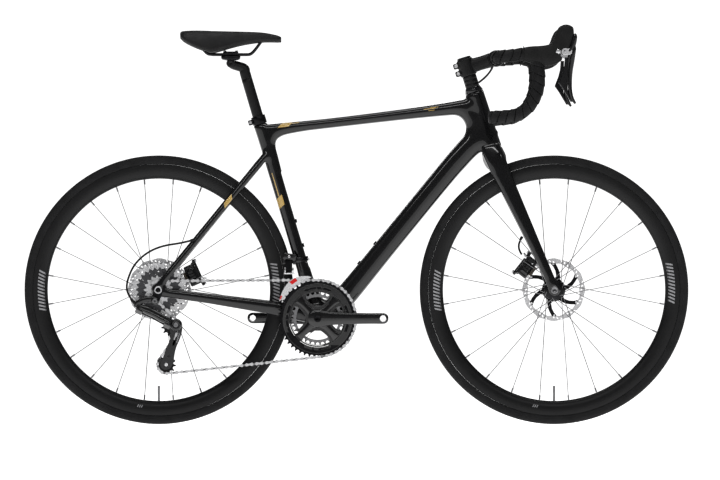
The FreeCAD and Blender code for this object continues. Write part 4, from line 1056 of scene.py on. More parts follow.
def make_collar():
    """Seat clamp: a ring with a split ear behind and one bolt through it."""
    foot = seat_point(512.2)
    rings = []
    for h, r in ((0, 17.4), (0.8, 18), (20.6, 18), (21.4, 17.4), (21.4, 13.75), (0, 13.75)):
        p = foot + SEAT_UP * h
        frames = ring_frames([p, p + SEAT_UP])
        _, _, n, b = frames[0]
        rings.append([mm(p + n * (r * math.cos(2 * math.pi * k / 64))
                         + b * (r * math.sin(2 * math.pi * k / 64)))
                      for k in range(64)])
    ring = skin("ring", rings, closed_ends=False, closed_loop=True)
    back = Vector((-SEAT_UP.z, 0, SEAT_UP.x))
    ear_mid = foot + SEAT_UP * 10.5 + back * 21
    ears = []
    for side in (-1, 1):
        lo, hi = sorted((side * 0.9, side * 8.8))
        ears.append(block("ear", (ear_mid.x - 7, lo, ear_mid.z - 6.5),
            (ear_mid.x + 7, hi, ear_mid.z + 6.5), 2.0, -16.5))
    collar = wear(joined("collar", [ring] + ears), "black")
    bolt = wear(screw("collar_bolt", ear_mid + back * 1.5 + Y * -8.8, -Y, 4, 4, 2), "steel")
    riding(joined("seat_collar", [collar, bolt]), "frame", None, "seat_clamp_collar",
        slot="black_anodised")


make_saddle_pad()
make_saddle_shell()
make_rails()
make_saddle_clamp()
make_post()
make_collar()


# ---------------------------------------------------------------- cockpit

HOOD_Y = BAR_HALF


def bar_points(start_y):
    """The right half of the bar, as in the CAD."""
    h = -BAR_HALF
    return [(353, start_y, 925), (353, start_y * 0.5 + (h + 34) * 0.5, 925), (353, h + 34, 925),
        (357, h + 14, 925),
            (374, h + 2, 926.5), (395, h, 928.5), (420, h, 931.5), (441, h, 928), (453, h - 0.5, 912),
            (457, h - 1.5, 882), (455, h - 3, 850), (446, h - 4.2, 822), (428, h - 5.5, 796),
                (402, h - 7, 780),
            (372, h - 8.5, 775), (335, h - 10, 773)]


def make_bar():
    """Round bar with its thick clamp part; both drops."""
    half = pipe("bar_half", bar_points(-62), 11.9, steps=28, per_span=5)
    middle = pipe("bar_middle", [(353, -76, 925), (353, -68, 925), (353, -60, 925), (353, -30, 925),
        (353, 0, 925)],
                  [11.9, 12.4, 15.6, 15.85, 15.85], steps=36, per_span=5)
    pieces = [half, middle, mirrored(half, "bar_half_left"), mirrored(middle, "bar_middle_left")]
    riding(joined("bar", pieces), "steering", "satin", "handlebar", slot="satin_black")


TAPE_PITCH = 21.0
TAPE_BULGE = 2.1


def make_tape():
    """Tape wound in overlapping turns: the surface climbs across each turn and drops at its edge; that drop
    is painted near-black as the shade under the overlap.
    """
    line = route_points(bar_points(-77), 14)
    total = sum((b - a).length for a, b in zip(line[:-1], line[1:]))
    count = int(total / 1.6)
    even = []
    target, walked, i = 0.0, 0.0, 0
    while len(even) < count and i < len(line) - 1:
        step = (line[i + 1] - line[i]).length
        if walked + step >= target:
            even.append(line[i].lerp(line[i + 1], (target - walked) / step))
            target += total / count
        else:
            walked += step
            i += 1
    even.append(line[-1])
    rings = []
    # faces on the step at each turn's edge, which get the painted shade
    shaded_steps = []
    steps = 48
    for j, (p, t, n, b) in enumerate(ring_frames(even)):
        s = j * total / count
        ring = []
        for k in range(steps):
            angle = 2 * math.pi * k / steps
            turn = (s + 9.0 * math.sin(angle) * 0.6) / TAPE_PITCH + k / steps
            phase = turn - math.floor(turn)
            lift = TAPE_BULGE * (0.15 + 0.85 * phase) if phase < 0.93 else TAPE_BULGE * (1 - phase) / 0.07
            radius = 15.0 + lift
            shaded_steps.append(phase > 0.9)
            end = min(s / 3.0, (total - s) / 2.0, 1.0)
            radius = 12.2 + (radius - 12.2) * max(end, 0.0) ** 0.5
            ring.append(mm(p + n * (radius * math.cos(angle)) + b * (radius * math.sin(angle))))
        rings.append(ring)
    wrap = skin("tape_right", rings)
    tape = material("bar_tape", (0.011, 0.011, 0.0115), rough=0.7, specular=0.25)
    tinted(tape, 30, (0.009, 0.009, 0.0095), (0.016, 0.016, 0.0165))
    mottled(tape, 90, 0.62, 0.78)
    pebbled(tape, 1300, 0.25, 0.0003)
    # painted shade: a near-black material on the step at each turn's edge, where the upper turn shades the
    # one below
    seam = material("tape_step_shade", (0.003, 0.003, 0.003), rough=0.85, specular=0.1)
    mottled(seam, 90, 0.8, 0.9)
    wear(wrap, tape)
    wrap.data.materials.append(seam)
    for polygon, dark in zip(wrap.data.polygons, shaded_steps):
        polygon.material_index = int(dark)
    tail, before = even[-1], even[-6]
    way = (tail - before).normalized()
    plug = pipe("plug", [tail - way * 2, tail + way * 0.5, tail + way * 3.4, tail + way * 4.8],
        [14.6, 15.6, 15.0, 12],
                steps=36, per_span=3)
    wear(plug, "plastic")
    collar = pipe("tape_finish", [Vector((353, y, 925)) for y in (-81, -77, -73)], 13.4, steps=36,
        per_span=2)
    wear(collar, "plastic")
    right = joined("tape_right", [wrap, plug, collar])
    left = mirrored(right, "tape_left")
    riding(right, "steering", None, "bar_tape", slot="tape")
    riding(left, "steering", None, "bar_tape", slot="tape")


def make_stem():
    """Stem body with a smooth beam, a rear pinch, and a faceplate in front of the bar."""
    low = HEAD_LENGTH + 0.4 + 13.05 + 30.15
    middle = HEAD_LOW + STEER_UP * (low + 22)
    bar = Vector((353, 0, 925))
    reach = bar - middle
    collar = loft("collar", [(*(middle + STEER_UP * d), h, w) for d, h, w in (
        (-21.8, 39, 38), (-17, 41, 40), (0, 42, 40), (17, 41, 40), (21.8, 38, 38))], 2.3)
    beam = loft("beam", [(*(middle + reach * t), h, w) for t, h, w in (
        (-0.05, 40, 34), (0.2, 37, 33), (0.5, 35, 33), (0.8, 37, 40), (1.0, 39, 46))], 2.9)
    clamp = lathe("clamp", bar, [(15.95, -23), (19.2, -23), (20.4, -21.5), (20.4, 21.5), (19.2, 23),
        (15.95, 23)], 64)
    back = Vector((-STEER_UP.z, 0, STEER_UP.x))
    ears = []
    for height in (-10, 10):
        at = middle + back * 24 + STEER_UP * height
        ears.append(block("ear", (at.x - 8, -12, at.z - 7), (at.x + 8, 12, at.z + 7), 3.5, -17))
    body = moulded("stem_body", [collar, beam, clamp] + ears, 1.5, 5)
    carve(body, bored_cylinder("steerer_room", middle - STEER_UP * 40, middle + STEER_UP * 40, 14.35))
    carve(body, bored_cylinder("bar_room", bar - Y * 40, bar + Y * 40, 15.95, 64))
    slot = block("pinch_slot", (middle.x - 46, -0.8, middle.z - 30),
        (middle.x - 12, 0.8, middle.z + 34), 0.1)
    carve(body, slot)
    body.data.polygons.foreach_set("use_smooth", [True] * len(body.data.polygons))
    body.data.set_sharp_from_angle(angle=math.radians(45))
    wear(body, "satin")
    way = reach.normalized()
    face = []
    up = Vector((-way.z, 0, way.x))
    for side in (-1, 1):
        for high in (-1, 1):
            face.append(wear(screw("face_screw", bar + way * 17 + up * (high * 14.5) + Y * (side * 15),
                way, 3.6, 3.0, 1.9),
                             "steel"))
    for height in (-10, 10):
        at = middle + back * 25 + STEER_UP * height
        face.append(wear(screw("pinch_screw", at + Y * -12.0, -Y, 4.4, 3.6, 2.2), "silver"))
        face.append(wear(screw("pinch_end", at + Y * 12.0, Y, 3.6, 0.8, 2.0), "steel"))
    band = lathe("face_band", bar, [(20.2, -9), (21.0, -8.4), (21.0, 8.4), (20.2, 9)], 64)
    wear(band, "grey")
    riding(joined("stem_body", [body, band] + face), "steering", None, "stem", slot="satin_black")


def make_headset():
    """Cone cover, three spacers and the top cap."""
    spots = [(0.4, 13.2, 23.6, 18.8, 18.8), (13.45, 10, 17.6, 17.6, 17), (23.5, 10, 17.6, 17.6, 17),
        (33.55, 9.9, 17.6, 17.6, 17)]
    rings_of = []
    for low, high, r0, r1, _ in spots:
        base = HEAD_LENGTH + low
        outline = [(14.4, 0), (r0 - 0.5, 0), (r0, 0.5), (r1, high - 0.5), (r1 - 0.5, high), (14.4, high)]
        rings = []
        for i in range(64):
            a = 2 * math.pi * i / 64
            ahead = Vector((STEER_UP.z, 0, -STEER_UP.x))
            out = ahead * math.cos(a) + Y * math.sin(a)
            rings.append([mm(HEAD_LOW + STEER_UP * (base + h) + out * r) for r, h in outline])
        rings_of.append(skin("spacer", rings, closed_ends=False, closed_loop=True))
    top = HEAD_LENGTH + 0.4 + 13.05 + 30.15 + 44.1
    rings = []
    for i in range(64):
        a = 2 * math.pi * i / 64
        ahead = Vector((STEER_UP.z, 0, -STEER_UP.x))
        out = ahead * math.cos(a) + Y * math.sin(a)
        rings.append([mm(HEAD_LOW + STEER_UP * (top + h) + out * r) for r, h in (
            (0.3, 0), (17.2, 0), (17.6, 0.6), (17.2, 3.4), (15, 4.8), (6.5, 4.9), (5.5, 3.6), (0.3, 3.6))])
    rings_of.append(skin("cap", rings, closed_ends=False, closed_loop=True))
    wear(rings_of[0], "gloss_part")
    for piece in rings_of[1:]:
        wear(piece, "satin")
    riding(joined("headset_stack", rings_of), "steering", None, "headset_spacers", slot="satin_black")


def make_hood(side_y):
    """A rubber hood: a wide palm rest that turns up into a rounded horn."""
    y = side_y
    body = loft("hood", [
        (416, y, 929.5, 30, 32), (424, y, 930.5, 37, 35), (440, y, 930, 43, 37), (458, y, 928, 49, 38),
            (476, y, 927.5, 53, 38),
        (490, y, 931, 53, 37.5), (501, y, 939, 50, 36.5), (510, y, 951, 47, 35.5),
            (516, y, 964, 45.5, 34.5),
        (520.5, y, 977, 45, 33), (525, y, 989, 42, 31), (528, y, 997.5, 34, 27), (529, y, 1002.5, 24, 21),
        (529.5, y, 1005.3, 8, 8),
    ], 2.5, steps=40, per_span=8)
    shaped = moulded("hood", [body], 1.6, 10)
    mouth = bored_cylinder("mouth", Vector((524, y - 40, 934)), Vector((524, y + 40, 934)), 14.0, 48)
    carve(shaped, mouth)
    room = block("mouth_room", (515, y - 40, 880), (575, y + 40, 946), 2)
    carve(shaped, room)
    shaped.data.polygons.foreach_set("use_smooth", [True] * len(shaped.data.polygons))
    shaped.data.set_sharp_from_angle(angle=math.radians(50))
    wear(shaped, "rubber")
    out = -1 if y < 0 else 1
    badge = block("hood_screw", (500, min(y + out * 17.2, y + out * 19.4), 933),
        (510, max(y + out * 17.2, y + out * 19.4), 943), 1.2, 25)
    wear(badge, "silver")
    seam = wear(pipe("hood_lip", [(419, y + 17.6 * math.cos(a), 931 + 19.5 * math.sin(a))
                                  for a in [2 * math.pi * k / 16 for k in range(17)]], 1.1, steps=8,
                                      per_span=4), "rubber")
    name = "hood_right" if y < 0 else "hood_left"
    riding(joined(name, [shaped, badge, seam]), "steering", None, "lever_hoods", slot="hood_rubber")


def make_lever(side, y):
    """The front of the lever: body cap and carrier, brake blade, shift paddle."""
    carrier = "lever_carrier_" + side
    cap = loft("lever_cap", [(546.5, y, 983, 7, 15), (547, y, 975, 12.5, 18.5),
        (543.5, y, 961, 16, 19.5), (540, y, 949, 15, 19.5),
                             (533, y, 939, 13, 19), (528, y, 931, 8, 15)], 2.4)
    cheeks = []
    for a, b in ((-9.2, -4.6), (4.6, 9.2)):
        cheeks.append(plate("cheek", stadium((522, 938), (534, 938), 9, 7.2), y + a, y + b, 0.8))
    pin = bored_cylinder("pin", Vector((522, y - 9.4, 938)), Vector((522, y + 9.4, 938)), 3.0, 32)
    wear(cap, "gloss_lever")
    for piece in cheeks:
        wear(piece, "silver")
    wear(pin, "steel")
    riding(joined(f"lever_body_{side}", [cap] + cheeks + [pin]), carrier, None, carrier, slot="silver")
    blade = loft("blade", [
        (544, y, 955, 7, 15), (545, y, 946, 11, 18.5), (542.5, y, 932, 13, 20), (539.5, y, 912, 13, 17.5),
        (536, y, 888, 11.8, 15), (534.6, y, 862, 10.8, 14), (535.5, y, 840, 10, 13.4),
            (540, y, 822, 8.6, 12),
        (545.5, y, 812, 7, 10), (548.5, y, 807.5, 5, 7),
    ], 2.6, steps=28, per_span=7)
    wear(blade, "gloss_lever")
    riding(blade, "brake_blade_" + side, None, "brake_blade_" + side, slot="gloss_black")
    blade.name = "blade_" + side
    outline = [(522, 924), (530.5, 924), (530, 900), (528.8, 870), (529, 845), (534, 826), (541, 812),
        (536, 812),
               (526, 829), (517, 844), (506.5, 859), (509, 866), (516, 884), (520.5, 902)]
    paddle = plate("paddle", outline, y - 5.2, y + 5.2, 2.2, segments=3)
    paddle.name = "paddle_" + side
    riding(paddle, "shift_paddle_" + side, "gloss_lever", "shift_paddle_" + side, slot="plastic")


make_bar()
make_tape()
make_stem()
make_headset()
for hood_side, hood_y in (("right", -HOOD_Y), ("left", HOOD_Y)):
    make_hood(hood_y)
    make_lever(hood_side, hood_y)


# ----------------------------------------------------------------- wheels

def polar(centre, radius, angle, y=0.0):
    """A point at an angle in degrees from +X towards +Z about a wheel's axle."""
    a = math.radians(angle)
    return Vector((centre.x + radius * math.cos(a), y, centre.z + radius * math.sin(a)))


def flat_polar(centre, radius, angle):
    p = polar(centre, radius, angle)
    return (p.x, p.z)


def make_tyre(where, centre):
    half = [(318.3, 9.0), (318.3, 11.9), (320.5, 12.9), (325, 13.8), (329, 13.85), (332.0, 13.2),
        (333.6, 12.5),
            (334.0, 12.0), (334.8, 11.9), (336.6, 9.9), (338.6, 6.6), (339.7, 3.2), (340.0, 0)]
    outer = half + [(r, -y) for r, y in half[-2::-1]]
    inner = [(322, -8.6), (333, -8.2), (337.2, -4), (337.8, 0), (337.2, 4), (333, 8.2), (322, 8.6)]
    tyre = lathe(f"{where}_tyre_skin", centre, outer + inner, 256)
    riding(tyre, f"{where}_wheel", "tyre", f"{where}_tyre", slot="tyre_rubber")


RIM_SIDE = [(317.9, 12.3), (314, 12.7), (309, 13.0), (303, 12.95), (297, 12.2), (291, 10.6),
    (286.5, 8.0), (283.2, 5.0),
            (281.3, 2.0), (281.0, 0)]


def rim_half_width(radius):
    """Half the rim's width at a radius, on its outside."""
    for (r0, y0), (r1, y1) in zip(RIM_SIDE[:-1], RIM_SIDE[1:]):
        if r1 <= radius <= r0:
            return y1 + (y0 - y1) * (radius - r1) / (r0 - r1)
    return 0.0


def make_rim_marks(name, centre, side, start, marks):
    """Plain slanted bars laid on the rim's side, each (advance, width, lower, upper radius) in mm."""
    pieces = []
    at = 0.0
    for advance, width, low, high in marks:
        vertices, faces = [], []
        rows, columns = 7, 3
        for i in range(rows):
            radius = low + (high - low) * i / (rows - 1)
            lean = (radius - 297) * 0.35
            for j in range(columns):
                arc = at + lean + width * j / (columns - 1)
                angle = start - math.degrees(arc / 298)
                vertices.append(mm(polar(centre, radius, angle, side * (rim_half_width(radius) + 0.12))))
        for i in range(rows - 1):
            for j in range(columns - 1):
                a = i * columns + j
                faces.append((a, a + 1, a + columns + 1, a + columns))
        pieces.append(from_data("mark", vertices, faces))
        at += advance
    obj = joined(name, pieces)
    for polygon in obj.data.polygons:
        if polygon.normal.y * side < 0:
            polygon.flip()
    return wear(obj, "mark")


MARKS = [(8.6, 4.4, 289, 306)] * 12
SMALL_MARKS = [(5, 2.0, 294, 301)] * 3


def make_rim(where, centre):
    inside = [(311, -10.4), (311, 10.4), (318, 10.4)]
    outer = [(r, y) for r, y in RIM_SIDE] + [(r, -y) for r, y in RIM_SIDE[-2::-1]]
    rim = lathe("rim", centre, outer + [(318, -10.4)] + inside, 224)
    carve(rim, bored_cylinder("valve_hole", centre - Vector((0, 0, 262)), centre - Vector((0, 0, 330)),
        3.3, 24))
    rim.data.set_sharp_from_angle(angle=math.radians(50))
    wear(rim, "rim")
    pieces = [rim]
    for side in (-1, 1):
        for start in (13, 190):
            pieces.append(make_rim_marks("marks", centre, side, start, MARKS))
        pieces.append(make_rim_marks("small_marks", centre, side, 262, SMALL_MARKS))
    riding(joined(f"{where}_rim_ring", pieces), f"{where}_wheel", None, f"{where}_rim", slot="satin_black")


def wavy_ring(centre, radius, swing, waves, phase=0.0, steps=288):
    return [flat_polar(centre,
        radius + swing * math.cos(math.radians(waves * (360 * i / steps) + phase)), 360 * i / steps)
            for i in range(steps)]


def make_rotor(where, centre):
    """A wavy steel track with slots, riveted to a black six-armed carrier."""
    low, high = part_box(f"{where}_rotor")
    y = (low.y + high.y) / 2 / MM
    holes = [wavy_ring(centre, 66.4, 1.3, 12, 180)[::-1]]
    for i in range(48):
        angle = 360 * i / 48
        kind = i % 4
        if kind == 3:
            continue
        radius = (70.0, 72.8, 75.6)[kind]
        a = flat_polar(centre, radius - 1.3, angle - 0.7)
        b = flat_polar(centre, radius + 1.3, angle + 0.7)
        holes.append(stadium(a, b, 1.45, 1.45, 6))
    track = plate("track", wavy_ring(centre, 78.9, 1.0, 12), y - 0.9, y + 0.9, 0.25, holes, 1)
    wear(track, "rotor_steel")
    carrier = [plate("centre", circle(centre.x, centre.z, 30, 60), y - 1.3, y + 1.3, 0.5,
                     [circle(centre.x, centre.z, 17.2, 48)], 2)]
    rivets = []
    for i in range(6):
        angle = 60 * i + 8
        outline = []
        for radius, turn in ((27, -13), (36, -6), (48, 4), (58, 12), (65, 17), (68.2, 19)):
            outline.append(flat_polar(centre, radius, angle + turn))
        for radius, turn in ((68.2, 27), (65, 28), (58, 23), (48, 17), (36, 12), (27, 11)):
            outline.append(flat_polar(centre, radius, angle + turn))
        carrier.append(plate("arm", outline, y - 1.15, y + 1.15, 0.4, segments=2))
        at = polar(centre, 65.2, angle + 23)
        for side in (-1, 1):
            rivets.append(wear(screw("rivet", at + Y * (y + side * 1.0), Y * side, 2.9, 0.9, 0.6),
                "silver"))
    for piece in carrier:
        wear(piece, "black")
    ring = wear(lathe("lock_ring", Vector((centre.x, 0, centre.z)), [(17.1, y - 1.2), (21.5, y - 1.2),
        (22, y + 1), (21.6, y + 2.6),
                                                                    (17.1, y + 2.6)], 72), "dark_steel")
    riding(joined(f"{where}_rotor_disc", [track, ring] + carrier + rivets), f"{where}_wheel", None,
        f"{where}_rotor",
           slot="steel")


MATERIALS["rim"] = make_satin("rim_carbon", (0.008, 0.008, 0.0085), (0.34, 0.42))
MATERIALS["rotor_steel"] = make_steel("rotor_steel", (0.42, 0.42, 0.43), (0.66, 0.66, 0.67), (0.24, 0.36))
MATERIALS["mark"] = make_satin("rim_mark", (0.30, 0.30, 0.31), (0.4, 0.5))
for wheel_name, wheel_centre in (("rear", REAR), ("front", FRONT)):
    make_tyre(wheel_name, wheel_centre)
    make_rim(wheel_name, wheel_centre)
    make_rotor(wheel_name, wheel_centre)


# ------------------------------------------------------------------ drive

CRANK = 165.0


def make_spider_cover():
    """Four broad arms that run out into a slotted ring over the large chainring."""
    steps = 240
    windows = []
    for k in range(4):
        middle = 90 * k
        outline = []
        for turn in (-27, -18, -9, 0, 9, 18, 27):
            outline.append(flat_polar(BB, 66.5, middle + turn))
        for radius, turn in ((60, 30), (50, 28), (40, 23), (32, 13)):
            outline.append(flat_polar(BB, radius, middle + turn))
        for radius, turn in ((32, -13), (40, -23), (50, -28), (60, -30)):
            outline.append(flat_polar(BB, radius, middle + turn))
        windows.append(outline)
    slots = []
    for k in range(4):
        for turn, width in ((-18, 5.5), (-2, 3.0), (9, 5.0), (21, 2.4)):
            a = flat_polar(BB, 77, 90 * k + turn - width)
            b = flat_polar(BB, 77, 90 * k + turn + width)
            slots.append(stadium(a, b, 2.4, 2.4, 8))
    edge = [flat_polar(BB, 88.6, 360 * i / steps) for i in range(steps)]
    cover = plate("cover", edge, -52.0, -48.7, 1.2, windows + slots, 3)
    wear(cover, "crank_gloss")
    ridge = lathe("ridge", BB, [(68.6, -51.6), (69.4, -52.9), (71.2, -52.9), (72, -51.6)], 160)
    wear(ridge, "crank_gloss")
    arms = []
    for k in range(4):
        reach = [(18, 27, 9), (30, 19, 8), (46, 17, 6.6), (60, 20, 5.4), (68, 25, 4.4)]
        rows = [(*polar(BB, r, 45 + 90 * k, -52.4), w, t) for r, w, t in reach]
        arms.append(wear(loft("spider_arm", rows, 3.0, steps=28, per_span=6), "crank_gloss"))
    return [cover, ridge] + arms


def make_crank_arm(sign):
    """A hollow-forged arm with a round boss and an open threaded eye."""
    y = -1 if sign > 0 else 1
    rows = [(-23, 59.0, 22, 11), (-18, 59.0, 33, 13), (-8, 59.0, 42, 15.5), (4, 59.2, 43, 16),
        (18, 60, 38, 15.5),
            (40, 61.4, 32.5, 14.5), (75, 63.4, 29.5, 14), (110, 65.2, 27.8, 13.6), (140, 66.6, 27.2, 13.6),
            (165, 67.4, 27.4, 13.6), (172, 67.4, 24, 13.2), (176.5, 67.4, 17, 12.4), (178.6, 67.4, 7, 11)]
    arm = loft("arm", [(BB.x + sign * d, y * w, BB.z, h, t) for d, w, h, t in rows], 3.4, steps=40,
        per_span=6,
               side=(1, 0, 0))
    eye = BB + Vector((sign * CRANK, 0, 0))
    carve(arm, bored_cylinder("eye", eye - Y * 100, eye + Y * 100, 7.6))
    carve(arm, bored_cylinder("axle", BB + Y * (y * 30), BB + Y * (y * 90), 9.2 if y < 0 else 12.1))
    arm.data.set_sharp_from_angle(angle=math.radians(42))
    wear(arm, "crank_gloss")
    insert = lathe("insert", eye, [(7.0, y * 60.8), (8.6, y * 60.8), (8.6, y * 73.6), (8.2, y * 74.2),
        (7.4, y * 74.2),
                                   (7.0, y * 73.6)], 48)
    wear(insert, "silver")
    return [arm, insert]


def make_cranks():
    pieces = make_spider_cover() + make_crank_arm(1)
    boss = lathe("boss", BB, [(9.05, -58), (20, -58), (22.5, -52), (24, -48.6), (24, -43.9),
        (9.05, -43.9)], 72)
    wear(boss, "crank_gloss")
    spindle = lathe("spindle", BB, [(9.05, -57), (12, -57), (12, 66.6), (9.05, 66.6)], 64)
    wear(spindle, "dark_steel")
    cap = lathe("cap", BB, [(0.3, -64.6), (5.2, -64.6), (5.8, -66.2), (8.8, -66.8), (9.0, -66.0),
        (9.0, -60), (0.3, -60)], 48)
    wear(cap, "black")
    hidden_arms = []
    for k in range(4):
        p = polar(BB, 55, 45 + 90 * k)
        hidden_arms.append(wear(plate("star_arm", stadium((BB.x, BB.z), (p.x, p.z), 15, 8.4), -46.2,
            -44.0, 0.5), "black"))
        bolt = screw("ring_bolt", p + Y * -39.8, Y, 4.6, 1.6, 2.2)
        hidden_arms.append(wear(bolt, "steel"))
        post = bored_cylinder("ring_post", p + Y * -50.5, p + Y * -39.6, 4.45, 24)
        hidden_arms.append(wear(post, "steel"))
    right = joined("crank_right", pieces + [boss, spindle, cap] + hidden_arms)
    riding(right, "crankset", None, "crank_arm_right", slot="gloss_black")
    left = make_crank_arm(-1)
    ring = lathe("left_boss", BB, [(12.05, 46), (18, 46), (19, 47), (19.5, 53), (12.05, 53)], 64)
    left.append(wear(ring, "crank_gloss"))
    end = lathe("left_cap", BB, [(3, 66.8), (9.6, 66.8), (10.4, 67.4), (10.4, 68.6), (9.6, 69.4),
        (3, 69.4)], 48)
    left.append(wear(end, "plastic"))
    for x in (-4.5, 4.5):
        left.append(wear(screw("pinch", (BB.x - x, 62, BB.z - 17.6), (0, 0, -1), 3.6, 3.4, 1.8), "steel"))
    riding(joined("crank_left", left), "crankset", None, "crank_arm_left", slot="gloss_black")


# ------------------------------------------------------- rear derailleur

HANGER = Vector((-508, -79, 312))
P_PIVOT = Vector((-455, 0, 252))
UPPER = centre_of("rd_pulley_upper")
LOWER = centre_of("rd_pulley_lower")
P_LINK = Vector((-478, -84, 258))
LINK_VECTOR = Vector((63, 0, -32))
B_LINK = P_LINK - LINK_VECTOR


def slanted(obj, at):
    """Turns a piece made about Z, with X along the links, onto the slanted link axis."""
    along_link = LINK_VECTOR.normalized()
    sweep = Vector((0, 0.85, -0.53))
    sweep = (sweep - along_link * sweep.dot(along_link)).normalized()
    axis = along_link.cross(sweep)
    turn = Matrix((along_link, sweep, axis)).transposed().to_4x4()
    obj.data.transform(Matrix.Translation(mm(at)) @ turn)
    return obj


def make_outer_link():
    """The long glossy outer link, waisted and with a pivot eyelet at each end."""
    rows = [(-9, -7.4, 0, 5, 8), (-6.5, -7.6, 0, 13, 10.5), (0, -7.8, 0, 14.4, 11.6),
        (12, -9.0, 0.6, 19.5, 13),
            (36, -9.4, 1.0, 18.5, 13.4), (56, -9.0, 0.4, 19.5, 13), (70, -7.8, 0, 14.4, 11.4),
                (76.5, -7.4, 0, 13, 10),
            (79.5, -7.2, 0, 5, 8)]
    link = slanted(loft("link", rows, 3.0, steps=32, per_span=6, side=(1, 0, 0)), B_LINK)
    wear(link, "crank_gloss")
    rivets = []
    for x in (0, LINK_VECTOR.length):
        for z in (-8.6, 8.6):
            rivet = screw("link_rivet", (x, -6, z - math.copysign(0.4, z)), (0, 0, z), 2.6, 1.2, 0.8)
            rivets.append(wear(slanted(rivet, B_LINK), "silver"))
    riding(joined("rd_link_outer", [link] + rivets), "rd_outer_link", None, "rd_outer_link",
        slot="gloss_black")
    inner = slanted(loft("link_in", [(-5, 6, 0, 8, 6), (0, 6, 0, 13.5, 8), (35, 6, 0, 11, 7.4),
        (70, 6, 0, 13.5, 8),
                                     (75.5, 6, 0, 8, 6)], 3.2, side=(1, 0, 0)), B_LINK)
    riding(inner, "rd_inner_link", "black", "rd_inner_link", slot="black_anodised")
    inner.name = "rd_link_inner"


def make_yoke(sign, at):
    parts = []
    for z in (-10.4, 7.7):
        low_x, high_x = (-4.5, 13) if sign > 0 else (-13, 4.5)
        parts.append(slanted(block("ear", (low_x, -10.5, z), (high_x, 10.5, z + 2.7), 1.2), at))
    low_x, high_x = (7.5, 14) if sign > 0 else (-14, -7.5)
    parts.append(slanted(block("web", (low_x, -10.5, -10.4), (high_x, 10.5, 10.4), 2.0), at))
    return parts


def make_b_knuckle():
    """The fixed knuckle: barrel on the hanger bolt, arm to the rear, cable adjuster and yoke."""
    barrel = lathe("barrel", Vector((HANGER.x, 0, HANGER.z)), [(5.1, -94), (8.2, -94), (9.6, -92.4),
        (9.8, -81), (9.0, -79.5),
                                                               (5.1, -79.5)], 48)
    arm = loft("arm", [(-506, -86.5, 316, 13, 12), (-518, -86.5, 317, 16, 12.5),
        (-534, -86, 315, 15, 12), (-548, -85.6, 309, 15, 12),
                       (-554, -85.3, 302, 14, 11), (-556, -85, 296, 10, 10)], 2.8)
    adjuster = pipe("adjuster", [(-553, -86, 303), (-557, -86, 306.2), (-561, -86, 309.4),
        (-563.5, -86, 311.4)],
                    [4.6, 4.6, 4.2, 3.4], steps=24, per_span=4)
    body = moulded("b_body", [arm] + make_yoke(-1, B_LINK), 1.1, 5)
    wear(body, "gloss_part")
    wear(barrel, "gloss_part")
    wear(adjuster, "plastic")
    bolt = wear(screw("hanger_screw", (HANGER.x, -94, HANGER.z), -Y, 6.4, 1.6, 2.6), "dark_steel")
    riding(joined("rd_b_body", [body, barrel, adjuster, bolt]), "rd_b_knuckle", None, "rd_b_knuckle",
        slot="black_anodised")


def make_p_knuckle():
    """The moving knuckle: a round spring barrel beside the cage."""
    barrel = lathe("barrel", P_PIVOT, [(4.1, -70.2), (12.4, -70.2), (13.6, -71.6), (14.6, -77),
        (14.6, -85), (13.4, -87.6),
                                       (10.5, -88.6), (7.4, -88.6), (6.8, -87.2), (4.1, -87.2)], 64)
    wear(barrel, "gloss_part")
    neck = loft("neck", [(-465, -84, 256, 16, 10), (-460, -82, 254, 21, 14), (-455, -80, 252, 24, 15)],
        2.6)
    body = moulded("p_body", [neck] + make_yoke(1, P_LINK), 1.1, 5)
    carve(body, bored_cylinder("pin_room", P_PIVOT - Y * 95, P_PIVOT - Y * 60, 12.0))
    wear(body, "gloss_part")
    cap = wear(screw("p_cap", P_PIVOT + Y * -87.6, -Y, 6.2, 1.4, 2.2), "dark_steel")
    riding(joined("rd_p_body", [body, barrel, cap]), "rd_p_knuckle", None, "rd_p_knuckle",
        slot="black_anodised")


